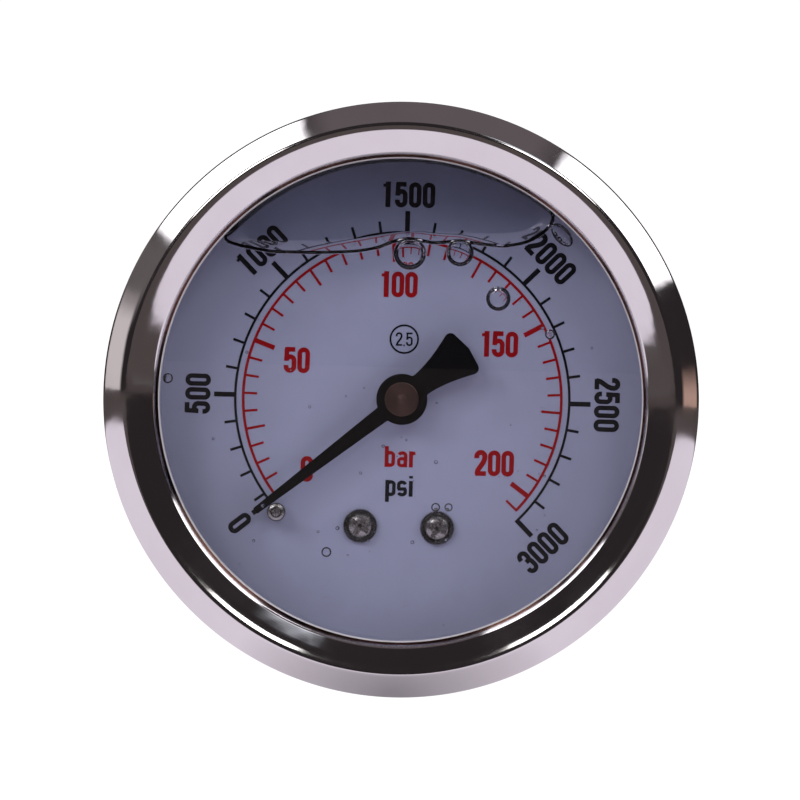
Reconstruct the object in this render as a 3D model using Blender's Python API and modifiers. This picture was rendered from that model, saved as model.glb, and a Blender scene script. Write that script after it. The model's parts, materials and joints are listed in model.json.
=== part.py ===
"""Liquid-filled pressure gauge, nominal size 63 mm, centre-back connection.

The dial faces -Y, +Z is up and the pointer turns about the Y axis.  Lengths are
in millimetres until they become coordinates.  A depth is measured behind the
bezel's crown; the middle of the overall depth is at Y = 0, so that the frame's
origin is the centre of the gauge's bounding box, on the pointer's axis.
"""
import math

import bmesh
import bpy
from mathutils import Matrix, Vector

MM = 0.001

# ---- driving dimensions, millimetres and degrees -------------------------------
OVERALL_DEPTH = 54.0        # bezel crown to the end of the stem
GAP = 0.3                   # between pieces that rest on each other

BEZEL_RADIUS = 34.25
BEZEL_CROWN_RADIUS = 31.5
BEZEL_LIP_RADIUS = 27.7     # visible opening of the gauge
BEZEL_SHEET = 0.75
BEZEL_BACK = 10.4

WINDOW_RADIUS = 30.4
WINDOW_FRONT = 3.4
WINDOW_BACK = 6.6
GASKET_INNER_RADIUS = 28.6
GASKET_BACK = 8.1

CASE_RADIUS = 31.0          # 62 mm can
CASE_WALL = 0.8
CASE_FLANGE_RADIUS = 32.9
CASE_FLANGE_FRONT = 8.4
CASE_BACK = 31.4
CASE_CORNER = 4.0
CASE_STEM_HOLE = 8.8

PLUG_DEPTH = 20.0           # fill plug, on top of the can
PLUG_HEAD_RADIUS = 5.2
PLUG_HEAD_TOP = 33.5
PLUG_NECK_RADIUS = 3.9

STEM_NECK_RADIUS = 8.5
STEM_FLATS = 14.0           # across the wrench flats
STEM_FLATS_FRONT = 32.4
STEM_FLATS_BACK = 39.2
THREAD_FRONT = 40.4         # 1/4 NPT: 13.7 mm at the large end, taper 1 in 16
THREAD_RADIUS = 6.85
THREAD_ROOT_RADIUS = 5.9
STEM_BORE = 2.4
PORT_BORE = 1.2

SOCKET_PAD_FRONT = 22.8
SOCKET_FRONT = 23.8
SOCKET_BACK = 28.9
SOCKET_FLANGE_RADIUS = 15.0
CASE_SCREW_CIRCLE = 12.6
CASE_SCREW_ANGLES = (90.0, 210.0, 330.0)
SEAL_RADIUS = 10.2
SEAL_CORD = 0.7

DIAL_RADIUS = 29.0
DIAL_FRONT = 12.6
DIAL_BACK = 13.2
DIAL_SCREW_X = 4.45
DIAL_SCREW_Z = -14.8
DIAL_SCREW_HEAD = 2.0
STOP_PIN_CIRCLE = 19.5
STOP_PIN_ANGLE = 223.5
STOP_PIN_RADIUS = 1.05

POINTER_REST = 218.9        # blade direction at zero pressure, from +X towards +Z
POINTER_SWEEP = 264.0       # zero to full scale
POINTER_FRONT = 9.6
POINTER_BACK = 10.3
POINTER_HUB = 2.95
BUSH_RADIUS = 1.98

MODULE = 0.25               # gear pair of the movement
PINION_TEETH = 10
SECTOR_TEETH = 80           # as a full wheel
SECTOR_PIVOT_ANGLE = -35.0
SECTOR_FRONT = 18.2
SECTOR_BACK = 19.2
TAIL_LENGTH = 4.2
TAIL_MID_ANGLE = -33.7
LINK_LENGTH = 5.5
TIP_PIN = (15.29, -5.344)   # closes the linkage at rest

FRONT_PLATE = (15.1, 16.3)  # depths of its two faces
BACK_PLATE = (21.3, 22.5)
PILLARS = ((-5.0, 5.5), (13.0, 1.0))
MOVEMENT_SCREWS = ((-6.5, -4.0), (2.5, 8.0))

TUBE_RADIUS = 20.0          # coiled Bourdon tube, centre line
TUBE_RADIAL = 2.2
TUBE_AXIAL = 3.0
TUBE_WALL = 0.35
TUBE_TIP_ANGLE = -14.0
TUBE_ROOT_ANGLE = 616.0     # 256 degrees, after one extra turn
TUBE_TIP_DEPTH = 18.3
TUBE_PITCH = 4.4

ROUND_STEPS = 48            # facets round the large turned pieces
SMALL_STEPS = 24


# ---- plane geometry -----------------------------------------------------------
def polar(radius, degrees, centre=(0.0, 0.0)):
    """Point at an angle measured from +X towards +Z, seen from the front."""
    angle = math.radians(degrees)
    return (centre[0] + radius * math.cos(angle), centre[1] + radius * math.sin(angle))


def arc(centre, radius, start, end, count):
    """Points along an arc, both ends included."""
    step = (end - start) / count
    return [polar(radius, start + step * i, centre) for i in range(count + 1)]


def circle(centre, radius, count=SMALL_STEPS):
    return arc(centre, radius, 0.0, 360.0, count)[:-1]


def hull(circles, count=20):
    """Outline of a band stretched round circles given as ((x, z), radius)."""
    points = sorted({p for centre, radius in circles for p in circle(centre, radius, count)})

    def half(sequence):
        chain = []
        for p in sequence:
            while len(chain) > 1 and turn(chain[-2], chain[-1], p) <= 1e-9:
                chain.pop()
            chain.append(p)
        return chain[:-1]

    return half(points) + half(reversed(points))


def turn(a, b, c):
    return (b[0] - a[0]) * (c[1] - a[1]) - (b[1] - a[1]) * (c[0] - a[0])


def rounded(corners, closed, count=2):
    """Replace each corner (x, y, fillet) by an arc that meets both its edges."""
    out = []
    last = len(corners) - 1
    for i, corner in enumerate(corners):
        here = Vector(corner[:2])
        if len(corner) < 3 or (not closed and i in (0, last)):
            out.append(tuple(here))
            continue
        before = (Vector(corners[i - 1][:2]) - here).normalized()
        after = (Vector(corners[(i + 1) % len(corners)][:2]) - here).normalized()
        half_angle = before.angle(after) / 2.0
        centre = here + (before + after).normalized() * corner[2] / math.sin(half_angle)
        reach = corner[2] / math.tan(half_angle)
        first = here + before * reach - centre
        sweep = first.angle_signed(here + after * reach - centre)
        for k in range(count + 1):
            out.append(tuple(centre + Matrix.Rotation(-sweep * k / count, 2) @ first))
    return out


# ---- Blender helpers ----------------------------------------------------------
def clear_scene():
    for obj in list(bpy.data.objects):
        bpy.data.objects.remove(obj, do_unlink=True)


def new_collection(name):
    collection = bpy.data.collections.new(name)
    bpy.context.scene.collection.children.link(collection)
    return collection


def local_z(depth):
    """Height along a front-facing piece's own Z axis for a depth in the gauge."""
    return (OVERALL_DEPTH / 2.0 - depth) * MM


def world_y(depth):
    return -local_z(depth)


def place(obj, at=(0.0, 0.0)):
    """Turn a piece modelled along +Z to face the front, on an axis at (x, z)."""
    obj.rotation_euler = (math.pi / 2.0, 0.0, 0.0)
    obj.location = (at[0] * MM, 0.0, at[1] * MM)
    return obj


def add_part(obj):
    PARTS.objects.link(obj)
    return obj


def as_cutter(obj):
    """Move a helper solid out of the model, so that only its Boolean shows."""
    for collection in list(obj.users_collection):
        collection.objects.unlink(obj)
    CUTTERS.objects.link(obj)
    obj.hide_render = True
    obj.display_type = "WIRE"
    return obj


def combine(target, helper, operation):
    modifier = target.modifiers.new(operation.title(), "BOOLEAN")
    modifier.operation = operation
    modifier.solver = "EXACT"
    modifier.object = as_cutter(helper)
    return target


def evaluated_mesh(obj):
    bpy.context.view_layer.update()
    graph = bpy.context.evaluated_depsgraph_get()
    return bpy.data.meshes.new_from_object(obj.evaluated_get(graph))


def screw_round(obj, steps, degrees=360.0, offset=0.0):
    modifier = obj.modifiers.new("Turned", "SCREW")
    modifier.axis = "Z"
    modifier.angle = math.radians(degrees)
    modifier.steps = steps
    modifier.render_steps = steps
    modifier.screw_offset = offset * MM
    modifier.use_merge_vertices = degrees == 360.0
    modifier.merge_threshold = 0.00001
    modifier.use_smooth_shade = True


def profile_object(name, points, closed):
    """Wire object from points (x, y, z) in metres, for a Screw modifier."""
    count = len(points)
    edges = [(i, (i + 1) % count) for i in range(count if closed else count - 1)]
    mesh = bpy.data.meshes.new(name)
    mesh.from_pydata(points, edges, [])
    return add_part(bpy.data.objects.new(name, mesh))


def turned(name, profile, at=(0.0, 0.0), steps=SMALL_STEPS):
    """Turned piece on the Y direction, from corners (radius, depth, fillet).

    The corners run from the front down the outer side to the back.  A profile
    that starts on the axis is open there, any other closes on itself.
    """
    closed = profile[0][0] > 0.0
    outline = rounded(profile, closed)
    points = [(radius * MM, 0.0, local_z(depth)) for radius, depth in outline]
    obj = profile_object(name, points, closed)
    screw_round(obj, steps)
    return place(obj, at)


def flat(name, loops, front, back):
    """Plate between two depths, from an outline and any holes, as (x, z) loops."""
    curve = bpy.data.curves.new(name + "_outline", "CURVE")
    curve.dimensions = "2D"
    curve.fill_mode = "BOTH"
    curve.extrude = (back - front) / 2.0 * MM
    for loop in loops:
        spline = curve.splines.new("POLY")
        spline.points.add(len(loop) - 1)
        for point, (x, z) in zip(spline.points, loop):
            point.co = (x * MM, z * MM, 0.0, 1.0)
        spline.use_cyclic_u = True
    guide = bpy.data.objects.new(name + "_guide", curve)
    bpy.context.scene.collection.objects.link(guide)
    mesh = evaluated_mesh(guide)
    bpy.data.objects.remove(guide, do_unlink=True)
    weld(mesh)
    obj = add_part(bpy.data.objects.new(name, mesh))
    place(obj)
    obj.location.y = world_y((front + back) / 2.0)
    return obj


def weld(mesh):
    cage = bmesh.new()
    cage.from_mesh(mesh)
    bmesh.ops.remove_doubles(cage, verts=cage.verts, dist=0.000002)
    bmesh.ops.recalc_face_normals(cage, faces=cage.faces)
    cage.to_mesh(mesh)
    cage.free()


def drill(radius, front, back, at=(0.0, 0.0), steps=SMALL_STEPS):
    """Cylinder along the Y direction between two depths, for a Boolean."""
    return turned("drill", [(0.0, front), (radius, front), (radius, back), (0.0, back)], at, steps)


def block(size, centre):
    """Box helper from its sides and centre in millimetres of world space."""
    cage = bmesh.new()
    bmesh.ops.create_cube(cage, size=MM)
    bmesh.ops.scale(cage, vec=size, verts=cage.verts)
    bmesh.ops.translate(cage, vec=Vector(centre) * MM, verts=cage.verts)
    mesh = bpy.data.meshes.new("block")
    cage.to_mesh(mesh)
    cage.free()
    return add_part(bpy.data.objects.new("block", mesh))


def cut_cross(screw, at, front, back, length, width):
    """Sink a cross recess between two depths into a screw's head."""
    centre = (at[0], world_y((front + back) / 2.0) / MM, at[1])
    combine(screw, block((length, back - front, width), centre), "DIFFERENCE")
    combine(screw, block((width, back - front, length), centre), "DIFFERENCE")


def coil(name, start, end, radial, axial, steps):
    """Oval tube surface along the Bourdon tube's helix, open at both ends."""
    depth = TUBE_TIP_DEPTH + TUBE_PITCH * (start - TUBE_TIP_ANGLE) / 360.0
    direction = Vector(polar(1.0, start)).to_3d()
    points = []
    for i in range(10):
        t = math.radians(90.0 - 36.0 * i)
        point = direction * (TUBE_RADIUS + radial / 2.0 * math.cos(t)) * MM
        point.z = local_z(depth) + axial / 2.0 * math.sin(t) * MM
        points.append(tuple(point))
    obj = profile_object(name, points, True)
    screw_round(obj, steps, end - start, -TUBE_PITCH * (end - start) / 360.0)
    return place(obj)


def coil_pocket(start, end):
    """Solid stretch of the helix, one gap larger than the tube all round."""
    shell = coil("pocket", start, end, TUBE_RADIAL + 2 * GAP, TUBE_AXIAL + 2 * GAP, 5)
    mesh = evaluated_mesh(shell)
    cage = bmesh.new()
    cage.from_mesh(mesh)
    bmesh.ops.holes_fill(cage, edges=cage.edges)
    bmesh.ops.recalc_face_normals(cage, faces=cage.faces)
    cage.to_mesh(mesh)
    cage.free()
    shell.modifiers.clear()
    shell.data = mesh
    return shell


def finish(obj, name, colour, roughness, metallic, alpha=1.0):
    """Settle a part's modifiers, shade its round faces smooth, and colour it."""
    mesh = evaluated_mesh(obj)
    obj.modifiers.clear()
    obj.data = mesh
    obj.name = name
    mesh.name = name
    mesh.materials.clear()
    mesh.shade_smooth()
    mesh.set_sharp_from_angle(angle=math.radians(35.0))
    material = bpy.data.materials.new(name)
    material.use_nodes = True
    shader = material.node_tree.nodes["Principled BSDF"]
    shader.inputs["Base Color"].default_value = (*colour, 1.0)
    shader.inputs["Roughness"].default_value = roughness
    shader.inputs["Metallic"].default_value = metallic
    shader.inputs["Alpha"].default_value = alpha
    mesh.materials.append(material)


def steel(obj, name):
    finish(obj, name, (0.66, 0.65, 0.66), 0.2, 1.0)


def brass(obj, name):
    finish(obj, name, (0.71, 0.53, 0.25), 0.32, 1.0)


def bronze(obj, name):
    finish(obj, name, (0.50, 0.30, 0.17), 0.35, 1.0)


def rubber(obj, name):
    finish(obj, name, (0.03, 0.03, 0.032), 0.7, 0.0)


# ---- case, bezel and window ---------------------------------------------------
def build_case():
    inner = CASE_RADIUS - CASE_WALL
    flange_back = CASE_FLANGE_FRONT + 0.9
    case = turned("case", [
        (inner, CASE_FLANGE_FRONT),
        (CASE_FLANGE_RADIUS, CASE_FLANGE_FRONT),
        (CASE_FLANGE_RADIUS, flange_back),
        (CASE_RADIUS, flange_back),
        (CASE_RADIUS, CASE_BACK, CASE_CORNER),
        (CASE_STEM_HOLE, CASE_BACK),
        (CASE_STEM_HOLE, CASE_BACK - CASE_WALL),
        (inner, CASE_BACK - CASE_WALL, CASE_CORNER - CASE_WALL),
    ], steps=ROUND_STEPS)
    hole = fill_hole()
    combine(case, hole, "DIFFERENCE")
    for at in case_screw_places():
        combine(case, drill(1.3, CASE_BACK - 2.0, CASE_BACK + 1.0, at), "DIFFERENCE")
    steel(case, "case")


def case_screw_places():
    return [polar(CASE_SCREW_CIRCLE, angle) for angle in CASE_SCREW_ANGLES]


def fill_hole():
    """Cutter for the filling hole, standing up through the top of the can."""
    bpy.ops.mesh.primitive_cylinder_add(
        vertices=32, radius=(PLUG_NECK_RADIUS + GAP) * MM, depth=6.0 * MM,
        location=(0.0, world_y(PLUG_DEPTH), CASE_RADIUS * MM))
    return bpy.context.object


def build_fill_plug():
    """Elastomer plug: domed head outside the can, tapered neck in its hole."""
    under = CASE_RADIUS + GAP
    corners = [
        (0.0, PLUG_HEAD_TOP),
        (PLUG_HEAD_RADIUS, PLUG_HEAD_TOP - 0.3, 0.8),
        (PLUG_HEAD_RADIUS, under),
        (PLUG_NECK_RADIUS, under),
        (PLUG_NECK_RADIUS, under - 2.2),
        (PLUG_NECK_RADIUS - 0.7, under - 3.4),
        (0.0, under - 3.4),
    ]
    points = [(r * MM, 0.0, z * MM) for r, z in rounded(corners, False)]
    plug = profile_object("fill_plug", points, False)
    screw_round(plug, 32)
    plug.location.y = world_y(PLUG_DEPTH)
    rubber(plug, "fill_plug")


def build_bezel():
    """Rolled ring: steep round nose, narrow crown, inner cone to the lip, rear edge turned in."""
    inside = BEZEL_RADIUS - BEZEL_SHEET
    bezel = turned("bezel_ring", [
        (BEZEL_LIP_RADIUS, 3.0),
        (BEZEL_LIP_RADIUS + 0.1, 2.3, 0.2),
        (28.45, 1.62),
        (30.5, 0.48),
        (31.1, 0.12),
        (BEZEL_CROWN_RADIUS, 0.0),
        (31.8, 0.15),
        (32.5, 0.66),
        (33.2, 1.36),
        (34.06, 2.64),
        (BEZEL_RADIUS, 3.4),
        (BEZEL_RADIUS, BEZEL_BACK, 0.7),
        (31.8, BEZEL_BACK),
        (31.8, BEZEL_BACK - 0.7),
        (inside, BEZEL_BACK - 0.7),
        (inside, 4.4),
        (31.4, 3.1),
    ], steps=ROUND_STEPS)
    steel(bezel, "bezel_ring")


def build_window():
    window = turned("window", [
        (0.0, WINDOW_FRONT),
        (WINDOW_RADIUS - 0.3, WINDOW_FRONT),
        (WINDOW_RADIUS, WINDOW_FRONT + 0.3),
        (WINDOW_RADIUS, WINDOW_BACK - 0.3),
        (WINDOW_RADIUS - 0.3, WINDOW_BACK),
        (0.0, WINDOW_BACK),
    ], steps=ROUND_STEPS)
    finish(window, "window", (0.9, 0.92, 0.95), 0.03, 0.0, 0.25)
    gasket = turned("window_gasket", [
        (GASKET_INNER_RADIUS, WINDOW_BACK + GAP),
        (WINDOW_RADIUS + 0.2, WINDOW_BACK + GAP),
        (WINDOW_RADIUS + 0.2, GASKET_BACK),
        (GASKET_INNER_RADIUS, GASKET_BACK),
    ], steps=ROUND_STEPS)
    rubber(gasket, "window_gasket")


# ---- socket and stem ----------------------------------------------------------
def square(side):
    half = side / 2.0
    return [(-half, -half), (half, -half), (half, half), (-half, half)]


def wrench_flats():
    """Square frame that trims the round neck to four flats."""
    frame = [square(STEM_FLATS + 10.0), square(STEM_FLATS)]
    return flat("flats", frame, STEM_FLATS_FRONT, STEM_FLATS_BACK + 0.6)


def build_socket():
    """Brass body: arm that carries tube and dial posts, with the stem behind."""
    end = OVERALL_DEPTH
    end_radius = THREAD_RADIUS - (end - THREAD_FRONT) / 32.0
    socket = turned("socket", [
        (0.0, SOCKET_PAD_FRONT),
        (10.0, SOCKET_PAD_FRONT),
        (10.0, SOCKET_FRONT + 1.0),
        (STEM_NECK_RADIUS, SOCKET_FRONT + 1.0),
        (STEM_NECK_RADIUS, STEM_FLATS_BACK),
        (THREAD_ROOT_RADIUS, STEM_FLATS_BACK),
        (THREAD_ROOT_RADIUS, THREAD_FRONT - 0.4),
        (THREAD_RADIUS, THREAD_FRONT + 0.5),
        (end_radius, end - 0.9),
        (end_radius - 0.9, end),
        (0.0, end),
    ], steps=36)
    socket.rotation_mode = "ZYX"
    socket.rotation_euler.z = math.radians(5.0)
    arm = hull([
        ((0.0, 0.0), SOCKET_FLANGE_RADIUS),
        ((DIAL_SCREW_X, DIAL_SCREW_Z), 2.9),
        ((-DIAL_SCREW_X, DIAL_SCREW_Z), 2.9),
        ((-3.8, -19.8), 3.8),
    ], 36)
    combine(socket, flat("arm", [arm], SOCKET_FRONT, SOCKET_BACK), "UNION")
    combine(socket, wrench_flats(), "DIFFERENCE")
    combine(socket, drill(STEM_BORE, 28.0, end + 1.0), "DIFFERENCE")
    combine(socket, drill(PORT_BORE, 25.3, 28.5), "DIFFERENCE")
    combine(socket, tube_port(), "DIFFERENCE")
    combine(socket, coil_pocket(TUBE_ROOT_ANGLE - 16.0, TUBE_ROOT_ANGLE + 1.0), "DIFFERENCE")
    for side in (-1.0, 1.0):
        hole = drill(1.5, SOCKET_FRONT - 1.0, 24.9, (side * DIAL_SCREW_X, DIAL_SCREW_Z))
        combine(socket, hole, "DIFFERENCE")
    for at in MOVEMENT_SCREWS:
        combine(socket, drill(1.1, SOCKET_PAD_FRONT - 1.0, 25.9, at), "DIFFERENCE")
    for at in case_screw_places():
        combine(socket, drill(1.3, 25.9, SOCKET_BACK + 1.0, at), "DIFFERENCE")
    brass(socket, "socket")


def tube_port():
    """Drilling that leads pressure from the stem's bore to the tube's root."""
    reach = TUBE_RADIUS - 0.6
    bpy.ops.mesh.primitive_cylinder_add(vertices=16, radius=0.9 * MM, depth=reach * MM)
    port = bpy.context.object
    middle = polar(reach / 2.0, TUBE_ROOT_ANGLE)
    port.location = (middle[0] * MM, world_y(26.2), middle[1] * MM)
    port.rotation_euler = (0.0, math.radians(90.0 - TUBE_ROOT_ANGLE), 0.0)
    return port


def build_stem_fittings():
    bpy.ops.mesh.primitive_torus_add(
        major_segments=40, minor_segments=8, major_radius=SEAL_RADIUS * MM,
        minor_radius=SEAL_CORD * MM, rotation=(math.pi / 2.0, 0.0, 0.0),
        location=(0.0, world_y((SOCKET_BACK + CASE_BACK - CASE_WALL) / 2.0), 0.0))
    seal = bpy.context.object
    adopt(seal)
    rubber(seal, "stem_seal")
    restrictor = turned("restrictor_screw", [
        (0.0, 44.0),
        (2.1, 44.0),
        (2.1, 49.5),
        (0.0, 49.5),
    ])
    combine(restrictor, drill(0.3, 43.0, 51.0, steps=12), "DIFFERENCE")
    slot = block((5.0, 1.0, 0.6), (0.0, world_y(49.5) / MM, 0.0))
    combine(restrictor, slot, "DIFFERENCE")
    brass(restrictor, "restrictor_screw")
    for i, at in enumerate(case_screw_places()):
        screw = turned("case_screw", [
            (0.0, 26.2),
            (1.0, 26.2),
            (1.0, CASE_BACK + GAP),
            (2.2, CASE_BACK + GAP),
            (2.2, CASE_BACK + 1.5, 0.6),
            (0.0, CASE_BACK + 1.7),
        ], at, 20)
        cut_cross(screw, at, CASE_BACK + 0.9, CASE_BACK + 3.0, 2.2, 0.6)
        steel(screw, f"case_screw_{i + 1}")


def adopt(obj):
    """Move an object made by an operator into the gauge's collection."""
    for collection in list(obj.users_collection):
        collection.objects.unlink(obj)
    return add_part(obj)


# ---- Bourdon tube -------------------------------------------------------------
def build_bourdon_tube():
    tube = coil("bourdon_tube", TUBE_TIP_ANGLE, TUBE_ROOT_ANGLE, TUBE_RADIAL, TUBE_AXIAL, 42)
    wall = tube.modifiers.new("Wall", "SOLIDIFY")
    wall.thickness = TUBE_WALL * MM
    wall.offset = -1.0
    bronze(tube, "bourdon_tube")


def build_tube_tip():
    """End piece brazed over the tube, with an ear for the link's pin."""
    seat = polar(TUBE_RADIUS, TUBE_TIP_ANGLE - 2.5)
    half = TUBE_AXIAL / 2.0 + 0.9
    tip = flat("tube_tip", [circle(seat, 2.6)], TUBE_TIP_DEPTH - half, TUBE_TIP_DEPTH + half)
    ear = hull([(seat, 1.6), (TIP_PIN, 1.25)])
    combine(tip, flat("ear", [ear], SECTOR_FRONT, SECTOR_BACK), "UNION")
    pocket = coil_pocket(TUBE_TIP_ANGLE - 0.9, TUBE_TIP_ANGLE + 9.0)
    combine(tip, pocket, "DIFFERENCE")
    combine(tip, drill(0.55, SECTOR_FRONT - 1.0, SECTOR_BACK + 1.0, TIP_PIN, 16), "DIFFERENCE")
    brass(tip, "tube_tip")


# ---- movement -----------------------------------------------------------------
def sector_pivot():
    spacing = MODULE * (PINION_TEETH + SECTOR_TEETH) / 2.0
    return polar(spacing, SECTOR_PIVOT_ANGLE)


def tail_pin():
    swing = POINTER_SWEEP * PINION_TEETH / SECTOR_TEETH
    return polar(TAIL_LENGTH, TAIL_MID_ANGLE - swing / 2.0, sector_pivot())


def tooth(centre, pitch_radius, angle, root_width):
    """One tooth as (x, z) points at root, pitch and tip, towards rising angle."""
    sizes = ((pitch_radius - 0.28, root_width), (pitch_radius, 0.30), (pitch_radius + 0.22, 0.16))
    half = [(radius, math.degrees(width / 2.0 / radius)) for radius, width in sizes]
    rising = [polar(radius, angle - spread, centre) for radius, spread in half]
    falling = [polar(radius, angle + spread, centre) for radius, spread in reversed(half)]
    return rising + falling


def sector_outline():
    """Toothed arc, hub and tail of the sector, counter-clockwise."""
    pivot = sector_pivot()
    pitch_radius = MODULE * SECTOR_TEETH / 2.0
    step = 360.0 / SECTOR_TEETH
    mesh_angle = SECTOR_PIVOT_ANGLE + 180.0
    outline = []
    for k in range(9, -2, -1):
        outline += tooth(pivot, pitch_radius, mesh_angle - k * step, 0.40)
    tail = tail_pin()
    tail_angle = math.degrees(math.atan2(tail[1] - pivot[1], tail[0] - pivot[0]))
    outline += arc(pivot, 1.9, 215.0, tail_angle + 360.0 - 60.0, 3)
    outline += arc(tail, 1.15, tail_angle + 270.0, tail_angle + 450.0, 8)
    outline += arc(pivot, 1.9, tail_angle + 420.0, 400.0, 3)
    return outline


def build_sector():
    pivot = sector_pivot()
    window = circle(polar(5.4, 127.0, pivot), 1.5, 16)
    pin_hole = circle(tail_pin(), 0.45, 12)
    sector = flat("sector_gear", [sector_outline(), window, pin_hole], SECTOR_FRONT, SECTOR_BACK)
    arbor = turned("arbor", [
        (0.0, 15.3),
        (0.4, 15.3),
        (0.4, 16.6),
        (0.8, 16.6),
        (0.8, 17.3),
        (1.5, 17.3),
        (1.5, 20.1),
        (0.8, 20.1),
        (0.8, 21.0),
        (0.4, 21.0),
        (0.4, 22.3),
        (0.0, 22.3),
    ], pivot)
    brass(combine(sector, arbor, "UNION"), "sector_gear")


def build_pinion():
    """Arbor that carries the pointer in front and the pinion behind."""
    gap_angle = SECTOR_PIVOT_ANGLE + 180.0 / PINION_TEETH
    outline = []
    for k in range(PINION_TEETH):
        angle = gap_angle + k * 360.0 / PINION_TEETH
        outline += tooth((0.0, 0.0), MODULE * PINION_TEETH / 2.0, angle, 0.34)
    pinion = flat("pinion_arbor", [outline], SECTOR_FRONT - 0.3, SECTOR_BACK + 0.4)
    shaft = turned("shaft", [
        (0.0, 8.7),
        (0.5, 8.8),
        (0.5, 17.5),
        (0.8, 17.5),
        (0.8, 21.0),
        (0.4, 21.0),
        (0.4, 22.3),
        (0.0, 22.3),
    ])
    steel(combine(pinion, shaft, "UNION"), "pinion_arbor")


def build_plates():
    pivot = sector_pivot()
    lugs = [(at, 2.2) for at in PILLARS]
    front = hull([((0.0, 0.0), 6.0), (pivot, 3.0)] + lugs)
    stud = circle(stud_place(), 0.7, 12)
    holes = [circle((0.0, 0.0), 0.62, 16), circle(pivot, 0.5, 16), stud]
    holes += [circle(at, 0.8, 16) for at in PILLARS]
    brass(flat("front_plate", [front] + holes, *FRONT_PLATE), "front_plate")
    back = hull([((0.0, 0.0), 4.0), (pivot, 3.2)] + lugs + [(at, 2.2) for at in MOVEMENT_SCREWS])
    holes = [circle((0.0, 0.0), 0.5, 16), circle(pivot, 0.5, 16)]
    holes += [circle(at, 0.9, 16) for at in PILLARS]
    holes += [circle(at, 1.1, 16) for at in MOVEMENT_SCREWS]
    brass(flat("back_plate", [back] + holes, *BACK_PLATE), "back_plate")


def slotted_screw(name, at, head_front, head_radius, head_height, shank, end):
    under = head_front + head_height
    screw = turned("screw", [
        (0.0, head_front),
        (head_radius, head_front, 0.25),
        (head_radius, under),
        (shank, under),
        (shank, end),
        (0.0, end),
    ], at, 16)
    slot = block((2 * head_radius + 1.0, 0.8, 0.45), (at[0], world_y(head_front) / MM, at[1]))
    steel(combine(screw, slot, "DIFFERENCE"), name)


def build_movement_fasteners():
    sides = ("left", "right")
    for side, at in zip(sides, PILLARS):
        pillar = turned("pillar", [
            (0.0, 19.6),
            (0.75, 19.6),
            (0.75, FRONT_PLATE[1] + GAP),
            (1.3, FRONT_PLATE[1] + GAP),
            (1.3, BACK_PLATE[0] - GAP),
            (0.6, BACK_PLATE[0] - GAP),
            (0.6, 22.2),
            (0.0, 22.2),
        ], at, 20)
        brass(pillar, f"pillar_{side}")
        slotted_screw(f"plate_screw_{side}", at, 14.0, 1.5, 0.8, 0.45, 19.2)
    for side, at in zip(("lower", "upper"), MOVEMENT_SCREWS):
        slotted_screw(f"movement_screw_{side}", at, 20.1, 1.7, 0.9, 0.8, 25.6)


def stud_place():
    return polar(4.75, 200.0)


def build_hairspring():
    """Flat spiral between the collet on the arbor and a stud in the front plate."""
    turns = 5.0
    per_turn = 16
    total = int(turns * per_turn)
    curve = bpy.data.curves.new("hairspring_path", "CURVE")
    curve.dimensions = "3D"
    curve.bevel_depth = 0.09 * MM
    curve.bevel_resolution = 0
    curve.use_fill_caps = True
    spline = curve.splines.new("POLY")
    spline.points.add(total)
    for i, point in enumerate(spline.points):
        share = i / total
        x, z = polar(1.6 + 2.4 * share, 200.0 - 6.0 + 360.0 * turns * (share - 1.0))
        point.co = (x * MM, z * MM, 0.0, 1.0)
    guide = bpy.data.objects.new("hairspring_guide", curve)
    bpy.context.scene.collection.objects.link(guide)
    mesh = evaluated_mesh(guide)
    bpy.data.objects.remove(guide, do_unlink=True)
    weld(mesh)
    spring = place(add_part(bpy.data.objects.new("hairspring", mesh)))
    spring.location.y = world_y(17.0)
    bronze(spring, "hairspring")
    collet = turned("collet", [(0.62, 16.6), (1.3, 16.6), (1.3, 17.3), (0.62, 17.3)])
    brass(collet, "hairspring_collet")
    stud = turned("stud", [(0.0, 15.3), (0.4, 15.3), (0.4, 17.5), (0.0, 17.5)], stud_place(), 16)
    brass(stud, "hairspring_stud")


def build_link():
    """Flat link with its two pins; its hole on the sector's pin is oversize."""
    tail = tail_pin()
    front, back = SECTOR_FRONT - 1.0, SECTOR_FRONT - 0.4
    outline = hull([(TIP_PIN, 1.1), (tail, 1.25)])
    holes = [circle(TIP_PIN, 0.5, 16), circle(tail, 0.65, 16)]
    steel(flat("tip_link", [outline] + holes, front, back), "tip_link")
    for name, at in (("tip_pin", TIP_PIN), ("link_pin", tail)):
        pin = turned("pin", [
            (0.0, front - 0.5),
            (1.0, front - 0.5),
            (1.0, front - 0.2),
            (0.35, front - 0.2),
            (0.35, SECTOR_BACK + 0.3),
            (0.0, SECTOR_BACK + 0.3),
        ], at, 16)
        steel(pin, name)


# ---- dial and pointer ---------------------------------------------------------
def dial_screw_places():
    return {"left": (-DIAL_SCREW_X, DIAL_SCREW_Z), "right": (DIAL_SCREW_X, DIAL_SCREW_Z)}


def stop_pin_place():
    return polar(STOP_PIN_CIRCLE, STOP_PIN_ANGLE)


def build_dial():
    holes = [circle((0.0, 0.0), 1.6), circle(stop_pin_place(), 0.9, 16)]
    holes += [circle(at, 1.25, 20) for at in dial_screw_places().values()]
    rim = circle((0.0, 0.0), DIAL_RADIUS, ROUND_STEPS)
    dial = flat("dial", [rim] + holes, DIAL_FRONT, DIAL_BACK)
    finish(dial, "dial", (0.62, 0.64, 0.72), 0.5, 0.0)
    pin = turned("stop_pin", [
        (0.0, 9.0),
        (STOP_PIN_RADIUS, 9.0, 0.3),
        (STOP_PIN_RADIUS, DIAL_FRONT - GAP),
        (0.6, DIAL_FRONT - GAP),
        (0.6, DIAL_BACK + 0.7),
        (0.0, DIAL_BACK + 0.7),
    ], stop_pin_place(), 20)
    brass(pin, "stop_pin")


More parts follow.
